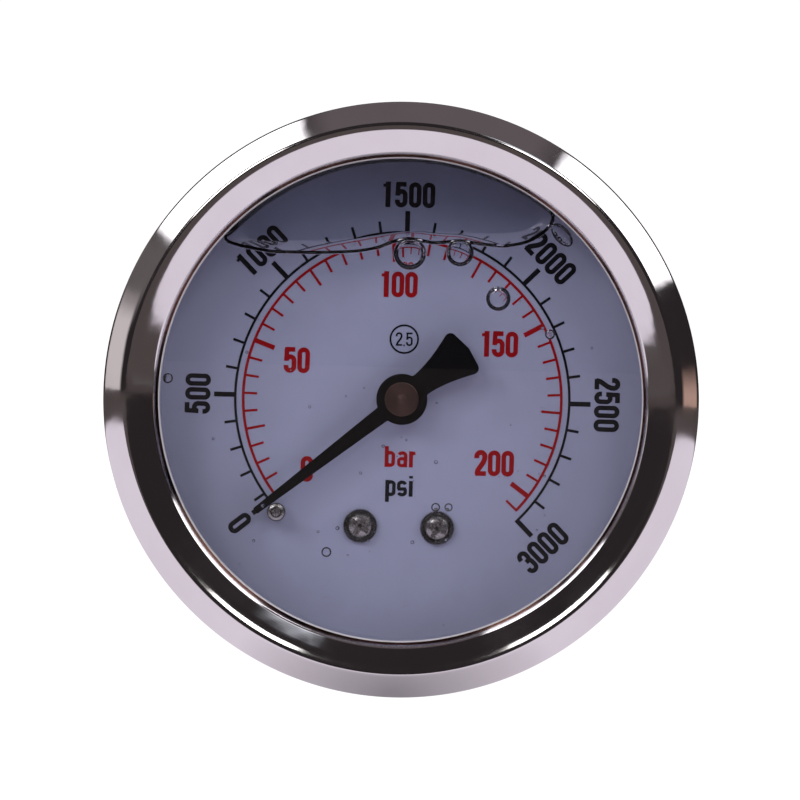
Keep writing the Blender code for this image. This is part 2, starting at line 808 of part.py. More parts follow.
def build_dial_mounting():
    head_front = DIAL_FRONT - GAP - 1.0
    for side, at in dial_screw_places().items():
        post = turned("post", [
            (0.0, 18.4),
            (1.2, 18.4),
            (1.2, DIAL_BACK + GAP),
            (2.0, DIAL_BACK + GAP),
            (2.0, SOCKET_FRONT - GAP),
            (1.2, SOCKET_FRONT - GAP),
            (1.2, SOCKET_FRONT + 0.8),
            (0.0, SOCKET_FRONT + 0.8),
        ], at)
        brass(post, f"dial_post_{side}")
        screw = turned("dial_screw", [
            (0.0, head_front),
            (DIAL_SCREW_HEAD, head_front + 0.15, 0.45),
            (DIAL_SCREW_HEAD, DIAL_FRONT - GAP),
            (0.9, DIAL_FRONT - GAP),
            (0.9, 18.0),
            (0.0, 18.0),
        ], at)
        cut_cross(screw, at, head_front - 1.0, head_front + 0.6, 2.3, 0.65)
        steel(screw, f"dial_screw_{side}")


def along_pointer(reach, side):
    """Point from its distance along the blade and its offset to the left of it."""
    angle = math.radians(POINTER_REST)
    x = reach * math.cos(angle) - side * math.sin(angle)
    z = reach * math.sin(angle) + side * math.cos(angle)
    return (x, z)


def pointer_outline():
    """Tapered blade, round hub and a flared counterweight tail."""
    flank = []
    for i in range(8):
        share = i / 7.0
        flank.append((-2.8 - 5.6 * share, 1.31 + 1.45 * share ** 1.6))
    upper = [(21.3, 0.4), (2.8, 0.95)]
    upper += [(2.35, 1.8), (1.5, 2.54), (0.0, 2.95), (-1.5, 2.54), (-2.35, 1.8)]
    upper += flank + [(-9.25, 3.05, 0.7)]
    lower = [(u, -v, *fillet) for u, v, *fillet in reversed(upper)]
    outline = rounded(upper + [(-9.75, 0.0)] + lower, True, 4)
    return [along_pointer(u, v) for u, v in outline]


def build_pointer():
    bore = circle((0.0, 0.0), 1.7)
    pointer = flat("pointer", [pointer_outline(), bore], POINTER_FRONT, POINTER_BACK)
    finish(pointer, "pointer", (0.02, 0.02, 0.022), 0.4, 0.0)
    bush = turned("pointer_bush", [
        (0.62, 9.0),
        (BUSH_RADIUS, 9.0, 0.12),
        (BUSH_RADIUS, POINTER_FRONT - GAP),
        (1.4, POINTER_FRONT - GAP),
        (1.4, 12.2),
        (0.62, 12.2),
    ])
    bronze(bush, "pointer_bush")


clear_scene()
PARTS = new_collection("pressure_gauge")
CUTTERS = new_collection("cutters")
build_case()
build_fill_plug()
build_bezel()
build_window()
build_socket()
build_stem_fittings()
build_bourdon_tube()
build_tube_tip()
build_sector()
build_pinion()
build_plates()
build_movement_fasteners()
build_hairspring()
build_link()
build_dial()
build_dial_mounting()
build_pointer()
for helper in list(CUTTERS.objects):
    bpy.data.objects.remove(helper, do_unlink=True)
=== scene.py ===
# Looks of the liquid-filled pressure gauge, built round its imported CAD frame.
# Lengths are in millimetres until they become coordinates.  X is to the right seen
# from the front, Z is up and the dial faces -Y.  A depth is counted behind the
# bezel's crown.  Angles run from +X towards +Z, seen from the front.
import json
import math
import random

import bmesh
import bpy
from mathutils import Matrix, Vector
from mathutils.geometry import delaunay_2d_cdt


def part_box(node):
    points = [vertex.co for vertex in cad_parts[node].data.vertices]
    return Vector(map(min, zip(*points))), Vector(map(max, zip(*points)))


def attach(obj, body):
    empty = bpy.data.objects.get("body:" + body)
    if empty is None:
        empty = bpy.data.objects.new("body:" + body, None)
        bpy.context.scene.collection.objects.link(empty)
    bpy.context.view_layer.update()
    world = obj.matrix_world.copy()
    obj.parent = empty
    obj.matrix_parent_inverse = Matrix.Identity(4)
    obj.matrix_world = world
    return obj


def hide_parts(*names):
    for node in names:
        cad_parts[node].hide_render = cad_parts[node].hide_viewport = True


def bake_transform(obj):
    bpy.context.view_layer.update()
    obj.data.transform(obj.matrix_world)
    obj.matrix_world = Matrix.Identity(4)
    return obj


MM = 0.001
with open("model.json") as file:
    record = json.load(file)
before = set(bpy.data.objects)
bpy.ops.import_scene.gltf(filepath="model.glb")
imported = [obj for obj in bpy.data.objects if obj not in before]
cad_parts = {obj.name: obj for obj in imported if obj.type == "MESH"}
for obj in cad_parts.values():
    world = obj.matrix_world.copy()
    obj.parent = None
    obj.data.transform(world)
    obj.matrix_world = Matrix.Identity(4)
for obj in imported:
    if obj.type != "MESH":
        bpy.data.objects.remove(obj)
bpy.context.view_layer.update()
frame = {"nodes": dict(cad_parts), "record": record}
rng = random.Random(7)


# ---- places taken from the frame
def box(node):
    low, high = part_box(node)
    return Vector(low) / MM, Vector(high) / MM


def centre(node):
    low, high = box(node)
    return ((low.x + high.x) / 2, (low.z + high.z) / 2)


CROWN = box("bezel_ring")[0].y


def depths(node):
    """Front and back of a node, as depths behind the crown."""
    low, high = box(node)
    return low.y - CROWN, high.y - CROWN


def y_of(depth):
    return (CROWN + depth) * MM


def metres(x, z, depth):
    """Blender's coordinates of a place in the gauge."""
    return (x * MM, y_of(depth), z * MM)


BEZEL_R = box("bezel_ring")[1].x
BEZEL_BACK = depths("bezel_ring")[1]
WINDOW_FRONT, WINDOW_BACK = depths("window")
WINDOW_R = box("window")[1].x
DIAL_FRONT = depths("dial")[0]
CASE_FRONT, CASE_BACK = depths("case")
FLANGE_R = box("case")[1].x
STEM_END = depths("socket")[1]
LIP_R = 27.7  # the bezel's opening
CAN_R = 31.0
CAN_WALL = 0.8
CAN_STEP = 0.12  # left by drawing
PLUG_DEPTH = sum(depths("fill_plug")) / 2
DIAL_SCREWS = [centre("dial_screw_left"), centre("dial_screw_right")]

FLATS = (32.4, 39.2)  # depths between which the neck is milled
HALF_FLATS = 7.0
FLAT_CUT = 10.0  # thickness of the block that mills a flat
NECK_R = 8.5
THREAD_START = 40.4
THREAD_R = 6.85
THREAD_ROOT = 5.9
THREAD_DEEP = 0.85
THREAD_PITCH = 25.4 / 18.0
STEM_BORE = 2.4
STEM_HOLE_R = 8.8  # hole in the case's back round the stem
FILL_HOLE_R = 4.2
GASKET_WIDTH = 2.0
CASE_HOLE_R = 1.3
CASE_SCREWS = [f"case_screw_{number}" for number in (1, 2, 3)]
ARM = (23.8, 28.9)  # depths of the socket's arm for the tube and the dial posts

TUBE_START, TUBE_END = -14.0, 616.0  # degrees along the coil, tip to root
TUBE_R = 20.0
TUBE_TIP_DEPTH, TUBE_PITCH = 18.3, 4.4
TUBE_HALF = (1.1, 1.5)  # radial and axial half sizes
TUBE_ROOT_PAD = (-3.8, -19.8)
SPRING_INNER, SPRING_OUTER = 1.6, 4.0

FLAT_OPTICS = 5.0  # sharp-edge angle that keeps a clear piece's flats exactly flat

# ---- the printed scale
PSI_ZERO = 218.9  # printed zero tick, where the pointer rests
PSI_ORIGIN = 225.0  # where the linear scale would start
PSI_STEP = 9.0  # degrees for each 100 psi
BAR_STEP = 1.3056  # degrees for each bar
BLACK_ARC_R = 19.34
RED_ARC_R = 18.41
LABEL_R = 23.68
CLASS_MARK = (0.04, 6.95)  # the ringed accuracy class


# ---- plane geometry
def polar(radius, degrees, at=(0.0, 0.0)):
    angle = math.radians(degrees)
    return (at[0] + radius * math.cos(angle), at[1] + radius * math.sin(angle))


def arc(at, radius, start, end, count):
    return [polar(radius, start + (end - start) * i / count, at) for i in range(count + 1)]


def ring_of(at, radius, count=48):
    return arc(at, radius, 0.0, 360.0, count)[:-1]


def ribbon(points, width, closed=False):
    """Quads along a line of points, with mitred joins."""
    count = len(points)
    path = [Vector(p) for p in points]
    sides = []
    for i, here in enumerate(path):
        before = path[i - 1] if i or closed else None
        after = path[(i + 1) % count] if i < count - 1 or closed else None
        a = (here - before).normalized() if before is not None else None
        b = (after - here).normalized() if after is not None else None
        a = a if a is not None else b
        b = b if b is not None else a
        tangent = (a + b).normalized()
        normal = Vector((-tangent.y, tangent.x))
        reach = width / 2 / max(0.35, normal.dot(Vector((-a.y, a.x))))
        sides.append((here + normal * reach, here - normal * reach))
    quads = []
    for i in range(count if closed else count - 1):
        (l0, r0), (l1, r1) = sides[i], sides[(i + 1) % count]
        quad = convex([tuple(r0), tuple(r1), tuple(l1), tuple(l0)])
        if quad:
            quads.append(quad)
    return quads


def convex(points):
    """The points' convex hull, counter-clockwise, or nothing if it has no area."""
    spots = sorted(set((round(x, 5), round(z, 5)) for x, z in points))
    chains = []
    for run in (spots, spots[::-1]):
        chain = []
        for p in run:
            while len(chain) > 1 and turn_of(chain[-2], chain[-1], p) <= 1e-7:
                chain.pop()
            chain.append(p)
        chains += chain[:-1]
    return chains if len(chains) > 2 else None


def turn_of(a, b, c):
    return (b[0] - a[0]) * (c[1] - a[1]) - (b[1] - a[1]) * (c[0] - a[0])


def sheet_mesh(polygons, front, back, holes=()):
    """Closed plate over the union of the polygons, minus any holes, between two depths."""
    verts, faces = [], []
    for polygon in [*polygons, *holes]:
        faces.append(list(range(len(verts), len(verts) + len(polygon))))
        verts += [Vector(p) for p in polygon]
    solid = len(polygons)
    flat, _, tris, _, _, origin = delaunay_2d_cdt(verts, [], faces, 0, 0.00001)
    cage = bmesh.new()
    made = [cage.verts.new(metres(*p, back)) for p in flat]
    for tri, sources in zip(tris, origin):
        if sources and all(s < solid for s in sources):
            cage.faces.new([made[i] for i in tri])
    loose = [v for v in cage.verts if not v.link_faces]
    bmesh.ops.delete(cage, geom=loose, context="VERTS")
    bmesh.ops.dissolve_limit(cage, angle_limit=0.001, verts=cage.verts, edges=cage.edges)
    raised = bmesh.ops.extrude_face_region(cage, geom=list(cage.faces))
    top = [v for v in raised["geom"] if isinstance(v, bmesh.types.BMVert)]
    bmesh.ops.translate(cage, verts=top, vec=(0.0, y_of(front) - y_of(back), 0.0))
    bmesh.ops.recalc_face_normals(cage, faces=cage.faces)
    return cage


# ---- pieces
def shade(mesh, sharp):
    mesh.shade_smooth()
    mesh.set_sharp_from_angle(angle=math.radians(sharp))


def made_object(name, cage, look=None, sharp=None):
    """Object from a bmesh; smooth-shaded up to the sharp angle, if one is given."""
    mesh = bpy.data.meshes.new(name)
    cage.to_mesh(mesh)
    cage.free()
    if sharp is not None:
        shade(mesh, sharp)
    if look:
        mesh.materials.append(look)
    obj = bpy.data.objects.new(name, mesh)
    bpy.context.scene.collection.objects.link(obj)
    return obj


def piece(name, cage, slot, look, sharp=35.0, replaced="", body="case_body"):
    obj = made_object(name, cage, look, sharp)
    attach(obj, body)
    if replaced:
        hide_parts(replaced)
    return obj


def turned(name, slot, look, corners, steps, at=(0.0, 0.0), shape=None, **more):
    """Turned piece on the case, from the corners of its half section."""
    return piece(name, lathe_mesh(corners, steps, at, shape), slot, look, **more)


def bevel(obj, width, angle=40.0):
    modifier = obj.modifiers.new("Bevel", "BEVEL")
    modifier.width = width * MM
    modifier.segments = 2
    modifier.limit_method = "ANGLE"
    modifier.angle_limit = math.radians(angle)
    return obj


def rounded(corners, closed, count=6):
    """Replace each corner (x, y, fillet) by an arc that meets both its edges."""
    out = []
    last = len(corners) - 1
    for i, corner in enumerate(corners):
        here = Vector(corner[:2])
        if len(corner) < 3 or (not closed and i in (0, last)):
            out.append(tuple(here))
            continue
        before = (Vector(corners[i - 1][:2]) - here).normalized()
        after = (Vector(corners[(i + 1) % len(corners)][:2]) - here).normalized()
        half_angle = before.angle(after) / 2
        middle = here + (before + after).normalized() * corner[2] / math.sin(half_angle)
        first = here + before * corner[2] / math.tan(half_angle) - middle
        sweep = first.angle_signed(here + after * corner[2] / math.tan(half_angle) - middle)
        for k in range(count + 1):
            out.append(tuple(middle + Matrix.Rotation(-sweep * k / count, 2) @ first))
    return out


def lathe_mesh(corners, steps, at=(0.0, 0.0), shape=None):
    """Turned body on a line along Y, from corners (radius, depth, fillet).

    shape(radius, depth, degrees) may change the radius, for ribs or a thread.
    """
    closed = corners[0][0] > 1e-6
    outline = rounded(corners, closed)
    cage = bmesh.new()
    rings = []
    for radius, depth in outline:
        if radius < 1e-6:
            rings.append([cage.verts.new(metres(*at, depth))])
            continue
        ring = []
        for i in range(steps):
            degrees = 360.0 * i / steps
            here = shape(radius, depth, degrees) if shape else radius
            ring.append(cage.verts.new(metres(*polar(here, degrees, at), depth)))
        rings.append(ring)
    skin(cage, rings, closed)
    return cage


def slab(inner, outer, front, back, *fillet):
    """Corners of a flat ring, or of a disc if inner is zero."""
    near = [(inner, front, *fillet), (outer, front, *fillet)]
    return near + [(outer, back, *fillet), (inner, back, *fillet)]


def stand_up(cage, depth):
    """Turn a lathe body upright at a depth; profile depths become heights over the axis."""
    for vert in cage.verts:
        x, y, z = vert.co
        vert.co = (x, y_of(depth) + z, y - y_of(0.0))
    bmesh.ops.recalc_face_normals(cage, faces=cage.faces)
    return cage


def sweep_mesh(stations, hollow=False):
    """Skin over equal rings of (x, depth, z) points; a hollow one closes on itself."""
    cage = bmesh.new()
    rings = [[cage.verts.new(metres(x, z, d)) for x, d, z in ring] for ring in stations]
    if not hollow:
        cage.faces.new(rings[0])
        cage.faces.new(rings[-1])
    skin(cage, rings, hollow)
    return cage


def skin(cage, rings, closed):
    """Faces from ring to ring; closed joins the last one to the first."""
    for one, two in zip(rings, rings[1:] + (rings[:1] if closed else [])):
        join_rings(cage, one, two)
    bmesh.ops.recalc_face_normals(cage, faces=cage.faces)


def join_rings(cage, one, two):
    """Faces between two rings of one size, or between a ring and a point."""
    count = max(len(one), len(two))
    for i in range(count if count > 1 else 0):
        j = (i + 1) % count
        if len(one) == 1:
            cage.faces.new((one[0], two[i], two[j]))
        elif len(two) == 1:
            cage.faces.new((one[i], two[0], one[j]))
        else:
            cage.faces.new((one[i], two[i], two[j], one[j]))


def combine(obj, cages, operation="DIFFERENCE", sharp=35.0):
    """Apply Booleans to a piece at once, so that nothing hidden is left behind."""
    tools = [made_object("cutter", cage) for cage in cages]
    for tool in tools:
        modifier = obj.modifiers.new("Boolean", "BOOLEAN")
        modifier.operation = operation
        modifier.solver = "EXACT"
        modifier.object = tool
    bpy.context.view_layer.update()
    graph = bpy.context.evaluated_depsgraph_get()
    mesh = bpy.data.meshes.new_from_object(obj.evaluated_get(graph))
    look = obj.data.materials[0]
    obj.modifiers.clear()
    obj.data = mesh
    mesh.materials.clear()
    mesh.materials.append(look)
    shade(mesh, sharp)
    for tool in tools:
        bpy.data.objects.remove(tool, do_unlink=True)
    return obj


def drill(at, radius, near, far):
    """Round hole along Y between two depths."""
    return lathe_mesh(slab(0.0, radius, near, far), 32, at)


def box_mesh(size, middle, turn):
    """Box; middle is (x, depth, z), turn is about the Y direction."""
    cage = bmesh.new()
    bmesh.ops.create_cube(cage, size=MM)
    bmesh.ops.scale(cage, vec=size, verts=cage.verts)
    bmesh.ops.rotate(cage, matrix=Matrix.Rotation(math.radians(turn), 3, "Y"), verts=cage.verts)
    bmesh.ops.translate(cage, vec=metres(middle[0], middle[2], middle[1]), verts=cage.verts)
    return cage


# ---- materials
class Nodes:
    """Small shorthand for building a material's node tree."""

    def __init__(self, name):
        self.material = bpy.data.materials.new(name)
        self.material.use_nodes = True
        self.tree = self.material.node_tree
        self.shader = self.tree.nodes["Principled BSDF"]

    def add(self, kind, *inputs, **values):
        """New node: inputs in order or by name, settings by name."""
        node = self.tree.nodes.new(kind)
        for key, value in values.items():
            if hasattr(node, key):
                setattr(node, key, value)
            else:
                self.feed(node.inputs[key], value)
        for socket, value in zip(node.inputs, inputs):
            self.feed(socket, value)
        return node

    def feed(self, socket, value):
        """Link a socket or set a plain value."""
        if isinstance(value, bpy.types.NodeSocket):
            self.tree.links.new(value, socket)
        else:
            socket.default_value = value

    def set(self, **values):
        for key, value in values.items():
            self.feed(self.shader.inputs[key.replace("_", " ")], value)

    def math(self, operation, a, b=0.0):
        return self.add("ShaderNodeMath", a, b, operation=operation).outputs[0]

    def point(self):
        """Position in millimetres, as the piece was modelled."""
        place = self.add("ShaderNodeTexCoord").outputs["Object"]
        return self.add("ShaderNodeVectorMath", place, operation="SCALE", Scale=1000.0).outputs[0]

    def split(self, vector):
        return self.add("ShaderNodeSeparateXYZ", vector).outputs

    def noise(self, vector, scale, detail, rough):
        values = {"Vector": vector, "Scale": scale, "Detail": detail, "Roughness": rough}
        return self.add("ShaderNodeTexNoise", **values).outputs["Fac"]

    def ramp(self, value, low, high, start=0.0, end=1.0):
        """Value from low..high mapped to start..end."""
        values = {"Value": value, "From Min": low, "From Max": high, "To Min": start, "To Max": end}
        return self.add("ShaderNodeMapRange", **values).outputs[0]

    def mix(self, share, one, two):
        node = self.add("ShaderNodeMix", data_type="RGBA")
        self.feed(node.inputs[0], share)
        for i, value in ((6, one), (7, two)):
            self.feed(node.inputs[i], (*value, 1.0) if isinstance(value, tuple) else value)
        return node.outputs[2]

    def mix_shader(self, share, one, two):
        return self.add("ShaderNodeMixShader", share, one.outputs[0], two.outputs[0]).outputs[0]

    def bump(self, height, distance, strength, under=None):
        node = self.add("ShaderNodeBump", Height=height, Distance=distance * MM, Strength=strength)
        if under is not None:
            self.feed(node.inputs["Normal"], under)
        return node.outputs[0]

    def lathe_point(self, along=0.35):
        """Coordinates that turn noise into fine rings round a turned piece."""
        x, y, z = self.split(self.point())
        squares = self.math("ADD", self.math("MULTIPLY", x, x), self.math("MULTIPLY", z, z))
        radius = self.math("SQRT", squares)
        angle = self.math("MULTIPLY", self.math("ARCTAN2", z, x), along)
        return self.add("ShaderNodeCombineXYZ", radius, y, angle).outputs[0]


def metal(name, colour, tarnish, rough, lathed=True, depth=0.004, spots=0.35, worn=0.4):
    """Machined metal: tool marks, worn and stained patches, fine scratches."""
    n = Nodes(name)
    place = n.point()
    if lathed:
        marks = n.noise(n.lathe_point(), 9.0, 4.0, 0.7)
    else:
        marks = n.noise(place, 5.0, 4.0, 0.7)
    stain = n.noise(place, 0.22, 4.0, 0.6)
    fine = n.noise(place, 2.6, 5.0, 0.7)
    share = n.ramp(stain, 0.42, 0.72, 0.0, spots)
    n.set(Base_Color=n.mix(share, colour, tarnish), Metallic=1.0)
    scuffs = n.ramp(fine, 0.3, 0.7, -worn * rough, worn * rough)
    wear = n.math("ADD", scuffs, n.ramp(marks, 0.3, 0.7, 0.0, 0.25 * rough))
    n.set(Roughness=n.math("ADD", wear, rough))
    n.set(Normal=n.bump(marks, depth, 0.6, n.bump(fine, depth * 0.7, 0.35)))
    return n.material


PAINTED_SHADE_END = (28.12, 28.3)  # radii over which the lip's painted shade (the shadowed gap by the window) fades out
EDGE_HIGHLIGHT_END = (27.84, 27.88)  # and its sheared edge, painted pale and matt as a highlight of the edge catching light


def polished_steel():
    """Bright rolled bezel: faint polishing rings, hairline scratches, soft smears.

    The curled lip is darkened with painted shade of the shadowed gap by the window, and its sheared
    edge is bare and matt, painted pale as a highlight of the edge catching light.
    """
    n = Nodes("polished_steel")
    place = n.point()
    rings = n.lathe_point(along=0.25)
    radius = n.split(rings)[0]
    lines = n.noise(rings, 6.0, 5.0, 0.8)
    smear = n.noise(place, 0.12, 3.0, 0.6)
    scratch = n.noise(n.lathe_point(along=14.0), 1.4, 6.0, 0.9)
    tone = n.mix(n.ramp(smear, 0.4, 0.7, 0.0, 0.5), (0.93, 0.91, 0.93), (0.86, 0.83, 0.85))
    # painted shade: a dark brown colour on the lip that stands for the shadowed gap between lip and
    # window
    darkened = n.mix(n.ramp(smear, 0.35, 0.65), (0.025, 0.015, 0.014), (0.20, 0.09, 0.066))
    ragged = n.math("ADD", radius, n.ramp(smear, 0.3, 0.7, -0.05, 0.05))
    # lip: mask of the painted shade, one on the lip and fading out between the given radii
    lip = n.ramp(ragged, *PAINTED_SHADE_END, 1.0, 0.0)
    # edge: mask of the sheared edge, painted as a pale, non-metallic highlight ring
    edge = n.ramp(radius, *EDGE_HIGHLIGHT_END, 1.0, 0.0)
    # the base colour carries the lip's painted shade and the edge's painted highlight
    tone = n.mix(edge, n.mix(lip, tone, darkened), (0.80, 0.78, 0.78))
    n.set(Base_Color=tone, Metallic=n.math("SUBTRACT", 1.0, edge))
    rough = n.math("ADD", n.ramp(smear, 0.35, 0.7, 0.05, 0.11), n.math("MULTIPLY", lip, 0.12))
    n.set(Roughness=n.math("ADD", rough, n.ramp(scratch, 0.62, 0.72, 0.0, 0.12)))
    waves = n.noise(place, 0.2, 2.0, 0.5)
    n.set(Normal=n.bump(lines, 0.0012, 0.5, n.bump(scratch, 0.001, 0.4, n.bump(waves, 0.06, 0.5))))
    return n.material


def coating(name, colours, grain, patch, shows, rough, bump, specular=0.5):
    """Matt surface: grain in roughness and bump, and patches of a second colour."""
    n = Nodes(name)
    place = n.point()
    grains = n.noise(place, *grain)
    patches = n.noise(place, *patch)
    n.set(Base_Color=n.mix(n.ramp(patches, *shows), *colours))
    n.set(Roughness=n.ramp(grains, 0.3, 0.7, *rough), Normal=n.bump(grains, *bump))
    n.set(Specular_IOR_Level=specular)
    return n.material


def ink(name, *colours):
    grain = (6.0, 4.0, 0.7)
    return coating(name, colours, grain, grain, (0.55, 0.8, 0.0, 0.5), (0.35, 0.55), (0.004, 0.4), 0.05)


DIAL_TINT = (0.52, 0.535, 0.75)


def dial_paint():
    """Satin off-white enamel with faint mottling and a few specks."""
    n = Nodes("dial_enamel")
    place = n.point()
    cloud = n.noise(place, 0.09, 3.0, 0.6)
    grain = n.noise(place, 9.0, 3.0, 0.6)
    speck = n.noise(place, 1.7, 2.0, 0.5)
    base = n.mix(n.ramp(cloud, 0.35, 0.65), DIAL_TINT, tuple(c * 0.94 for c in DIAL_TINT))
    n.set(Base_Color=n.mix(n.ramp(speck, 0.735, 0.78, 0.0, 0.5), base, (0.2, 0.2, 0.24)))
    n.set(Roughness=n.ramp(grain, 0.3, 0.7, 0.42, 0.6), Normal=n.bump(grain, 0.006, 0.4))
    n.set(Specular_IOR_Level=0.1)
    return n.material


def clear(name, tint, index, rough=0.0, shade=None):
    """Clear body that bends what is seen through it and lets lamps light what is behind."""
    n = Nodes(name)
    haze = n.noise(n.point(), 0.5, 4.0, 0.6)
    hazy = tuple(c * 0.985 for c in tint)
    colour = n.mix(n.ramp(haze, 0.4, 0.8, 0.0, 0.6), tint, hazy)
    dull = n.ramp(haze, 0.45, 0.75, 0.0, rough)
    glass = n.add("ShaderNodeBsdfGlass", Color=colour, IOR=index, Roughness=dull)
    through = n.add("ShaderNodeBsdfTransparent", Color=(*(shade or tint), 1.0))
    path = n.add("ShaderNodeLightPath").outputs
    choose = n.math("MAXIMUM", path["Is Shadow Ray"], path["Is Diffuse Ray"])
    surface = n.mix_shader(choose, glass, through)
    n.feed(n.tree.nodes["Material Output"].inputs["Surface"], surface)
    n.tree.nodes.remove(n.shader)
    return n.material


POLISHED = polished_steel()
SATIN = metal("satin_steel", (0.62, 0.61, 0.62), (0.52, 0.50, 0.49), 0.26, depth=0.0015, worn=0.12)
BRASS = metal("brass", (0.76, 0.57, 0.27), (0.48, 0.33, 0.15), 0.27)
BRONZE = metal("bronze", (0.33, 0.21, 0.17), (0.17, 0.10, 0.08), 0.32)
NICKEL = metal("screw_nickel", (0.52, 0.50, 0.51), (0.30, 0.28, 0.28), 0.2, False, spots=0.5)
ZINC = metal("screw_zinc", (0.60, 0.59, 0.58), (0.36, 0.34, 0.31), 0.25, False, depth=0.008)
BUSH = metal("bush_bronze", (0.15, 0.092, 0.083), (0.10, 0.06, 0.055), 0.3, worn=0.2)
RUBBER = coating("black_rubber", ((0.018, 0.018, 0.02), (0.07, 0.068, 0.066)), (7.0, 4.0, 0.7),
                 (0.6, 5.0, 0.7), (0.5, 0.8, 0.0, 0.4), (0.55, 0.8), (0.02, 0.4))
ENAMEL = dial_paint()
BLACK_INK = ink("black_ink", (0.008, 0.009, 0.013), (0.03, 0.03, 0.035))
RED_INK = ink("red_ink", (0.42, 0.004, 0.008), (0.34, 0.01, 0.012))
POINTER_PAINT = coating("pointer_enamel", ((0.004, 0.004, 0.005), (0.03, 0.03, 0.035)),
                        (3.2, 3.0, 0.6), (8.0, 4.0, 0.7), (0.66, 0.8, 0.0, 0.5), (0.38, 0.5),
                        (0.006, 0.3), 0.03)
AIR_TINT = (0.99, 0.99, 1.0)
LIQUID_INDEX = 1.47
WINDOW_CLEAR = clear("window_clear", (0.985, 0.985, 0.99), 1.5, 0.01)
GLYCERINE = clear("glycerine", (0.97, 0.975, 0.985), LIQUID_INDEX)
AIR = clear("air_in_liquid", AIR_TINT, 1.0 / LIQUID_INDEX, shade=(0.74, 0.76, 0.78))
BUBBLE = clear("bubble_air", AIR_TINT, 1.0 / LIQUID_INDEX)


# ---- bezel, case and window
NOSE_WIDTH = 2.28  # the bezel's outer slope


def bezel_profile():
    """Half section of the rolled ring, from the lip over the crown to the rear edge."""
    lip = [(LIP_R, 3.0), (LIP_R + 0.02, 2.45), (LIP_R + 0.14, 2.2), (28.05, 1.94), (28.22, 1.74)]
    cone = [(28.36, 1.455), (28.6, 1.32), (29.2, 0.99), (29.8, 0.66), (30.3, 0.39), (30.55, 0.265)]
    crown = [(30.75, 0.175), (30.95, 0.1), (31.15, 0.045), (31.35, 0.01), (31.5, 0.0), (31.62, 0.015)]
    crown += [(31.78, 0.08)]
    nose = []
    radius, depth = crown[-1]
    steps = 22
    stride = NOSE_WIDTH / steps
    for i in range(steps):
        slope = math.radians(34.0 + 26.0 * (i + 0.5) / steps)
        radius += stride
        depth += stride * math.tan(slope)
        nose.append((radius, depth))
    edge = [(34.16, depth + 0.2), (34.22, depth + 0.42), (BEZEL_R, depth + 0.75)]
    inside = BEZEL_R - 0.75
    rear = rounded([
        (BEZEL_R, depth + 2.0), (BEZEL_R, BEZEL_BACK, 0.8), (31.75, BEZEL_BACK, 0.3),
        (31.75, BEZEL_BACK - 0.7, 0.3), (inside, BEZEL_BACK - 0.75, 0.25),
        (inside, 4.4, 0.5), (31.4, 3.1, 0.5), (LIP_R, 3.0),
    ], False)
    return lip + cone + crown + nose + edge + rear[:-1]


def build_bezel():
    turned("bezel", "polished_steel", POLISHED, bezel_profile(), 240, replaced="bezel_ring")


def build_window():
    disc = slab(0.0, WINDOW_R, WINDOW_FRONT, WINDOW_BACK, 0.35)
    turned("window_lens", "clear_window", WINDOW_CLEAR, disc, 192, sharp=FLAT_OPTICS,
           replaced="window")
    outer = box("window_gasket")[1].x
    ring = slab(outer - GASKET_WIDTH, outer, *depths("window_gasket"), 0.35)
    turned("gasket_ring", "black_rubber", RUBBER, ring, 160, replaced="window_gasket")


def build_case():
    """Drawn can: flange behind the bezel, faint steps, large rear corner, filling hole."""
    flange = CASE_FRONT + 0.9
    inner = CAN_R - CAN_WALL
    can = turned("case_can", "satin_steel", SATIN, [
        (inner, CASE_FRONT, 0.15), (FLANGE_R, CASE_FRONT, 0.2), (FLANGE_R, flange, 0.2),
        (CAN_R, flange, 0.25), (CAN_R, 26.6, 1.0), (CAN_R - CAN_STEP, 26.9, 1.0),
        (CAN_R - CAN_STEP, CASE_BACK, 3.9), (17.9, CASE_BACK, 0.6),
        (17.5, CASE_BACK - CAN_STEP, 0.6), (STEM_HOLE_R, CASE_BACK - CAN_STEP, 0.2),
        (STEM_HOLE_R, CASE_BACK - CAN_WALL, 0.2), (inner, CASE_BACK - CAN_WALL, 3.2),
    ], 192, replaced="case")
    hole = lathe_mesh(slab(0.0, FILL_HOLE_R, 25.0, 34.0), 64)
    tools = [stand_up(hole, PLUG_DEPTH)]
    for node in CASE_SCREWS:
        tools.append(drill(centre(node), CASE_HOLE_R, CASE_BACK - 2.0, CASE_BACK + 1.0))
    combine(can, tools)
    for node, turn in zip(CASE_SCREWS, (12.0, 57.0, 33.0)):
        build_case_screw(node, turn)


def build_case_screw(node, turn):
    at = centre(node)
    front, back = depths(node)
    head = back - 1.4
    screw = turned(f"{node}_pan", "screw_steel", ZINC, [
        (0.0, front), (0.8, front, 0.2), (1.0, front + 0.35, 0.2),
        (1.0, head), (2.2, head, 0.1), (2.2, head + 0.75, 0.45),
        (1.35, back, 0.5), (0.0, back),
    ], 64, at, replaced=node)
    combine(screw, cross_tools(at, back, -0.8, 2.4, 0.6, turn))


def build_fill_plug():
    """Moulded plug: dished head with a raised rim and grip ribs, beaded neck."""
    low, high = box("fill_plug")
    top, radius = high.z, high.x
    under = CAN_R + 0.3
    profile = [
        (0.0, top - 0.75), (3.4, top - 0.75, 0.5), (3.9, top, 0.3),
        (radius - 0.1, top, 0.5), (radius, under, 0.25), (3.9, under, 0.2),
        (3.9, under - 1.1, 0.15), (3.6, under - 1.5, 0.3), (3.85, under - 2.2, 0.3),
        (3.2, low.z, 0.4), (0.0, low.z),
    ]

    def ribs(here, height, degrees):
        if here > radius - 0.3 and height > under + 0.2:
            return here - 0.1 * (0.5 + 0.5 * math.cos(math.radians(degrees * 30.0)))
        return here

    cage = stand_up(lathe_mesh(profile, 240, shape=ribs), PLUG_DEPTH)
    ours = {"replaced": "fill_plug", "body": "fill_plug"}
    piece("plug_moulding", cage, "black_rubber", RUBBER, **ours)


# ---- stem
def within_one(value):
    return min(1.0, max(0.0, value))


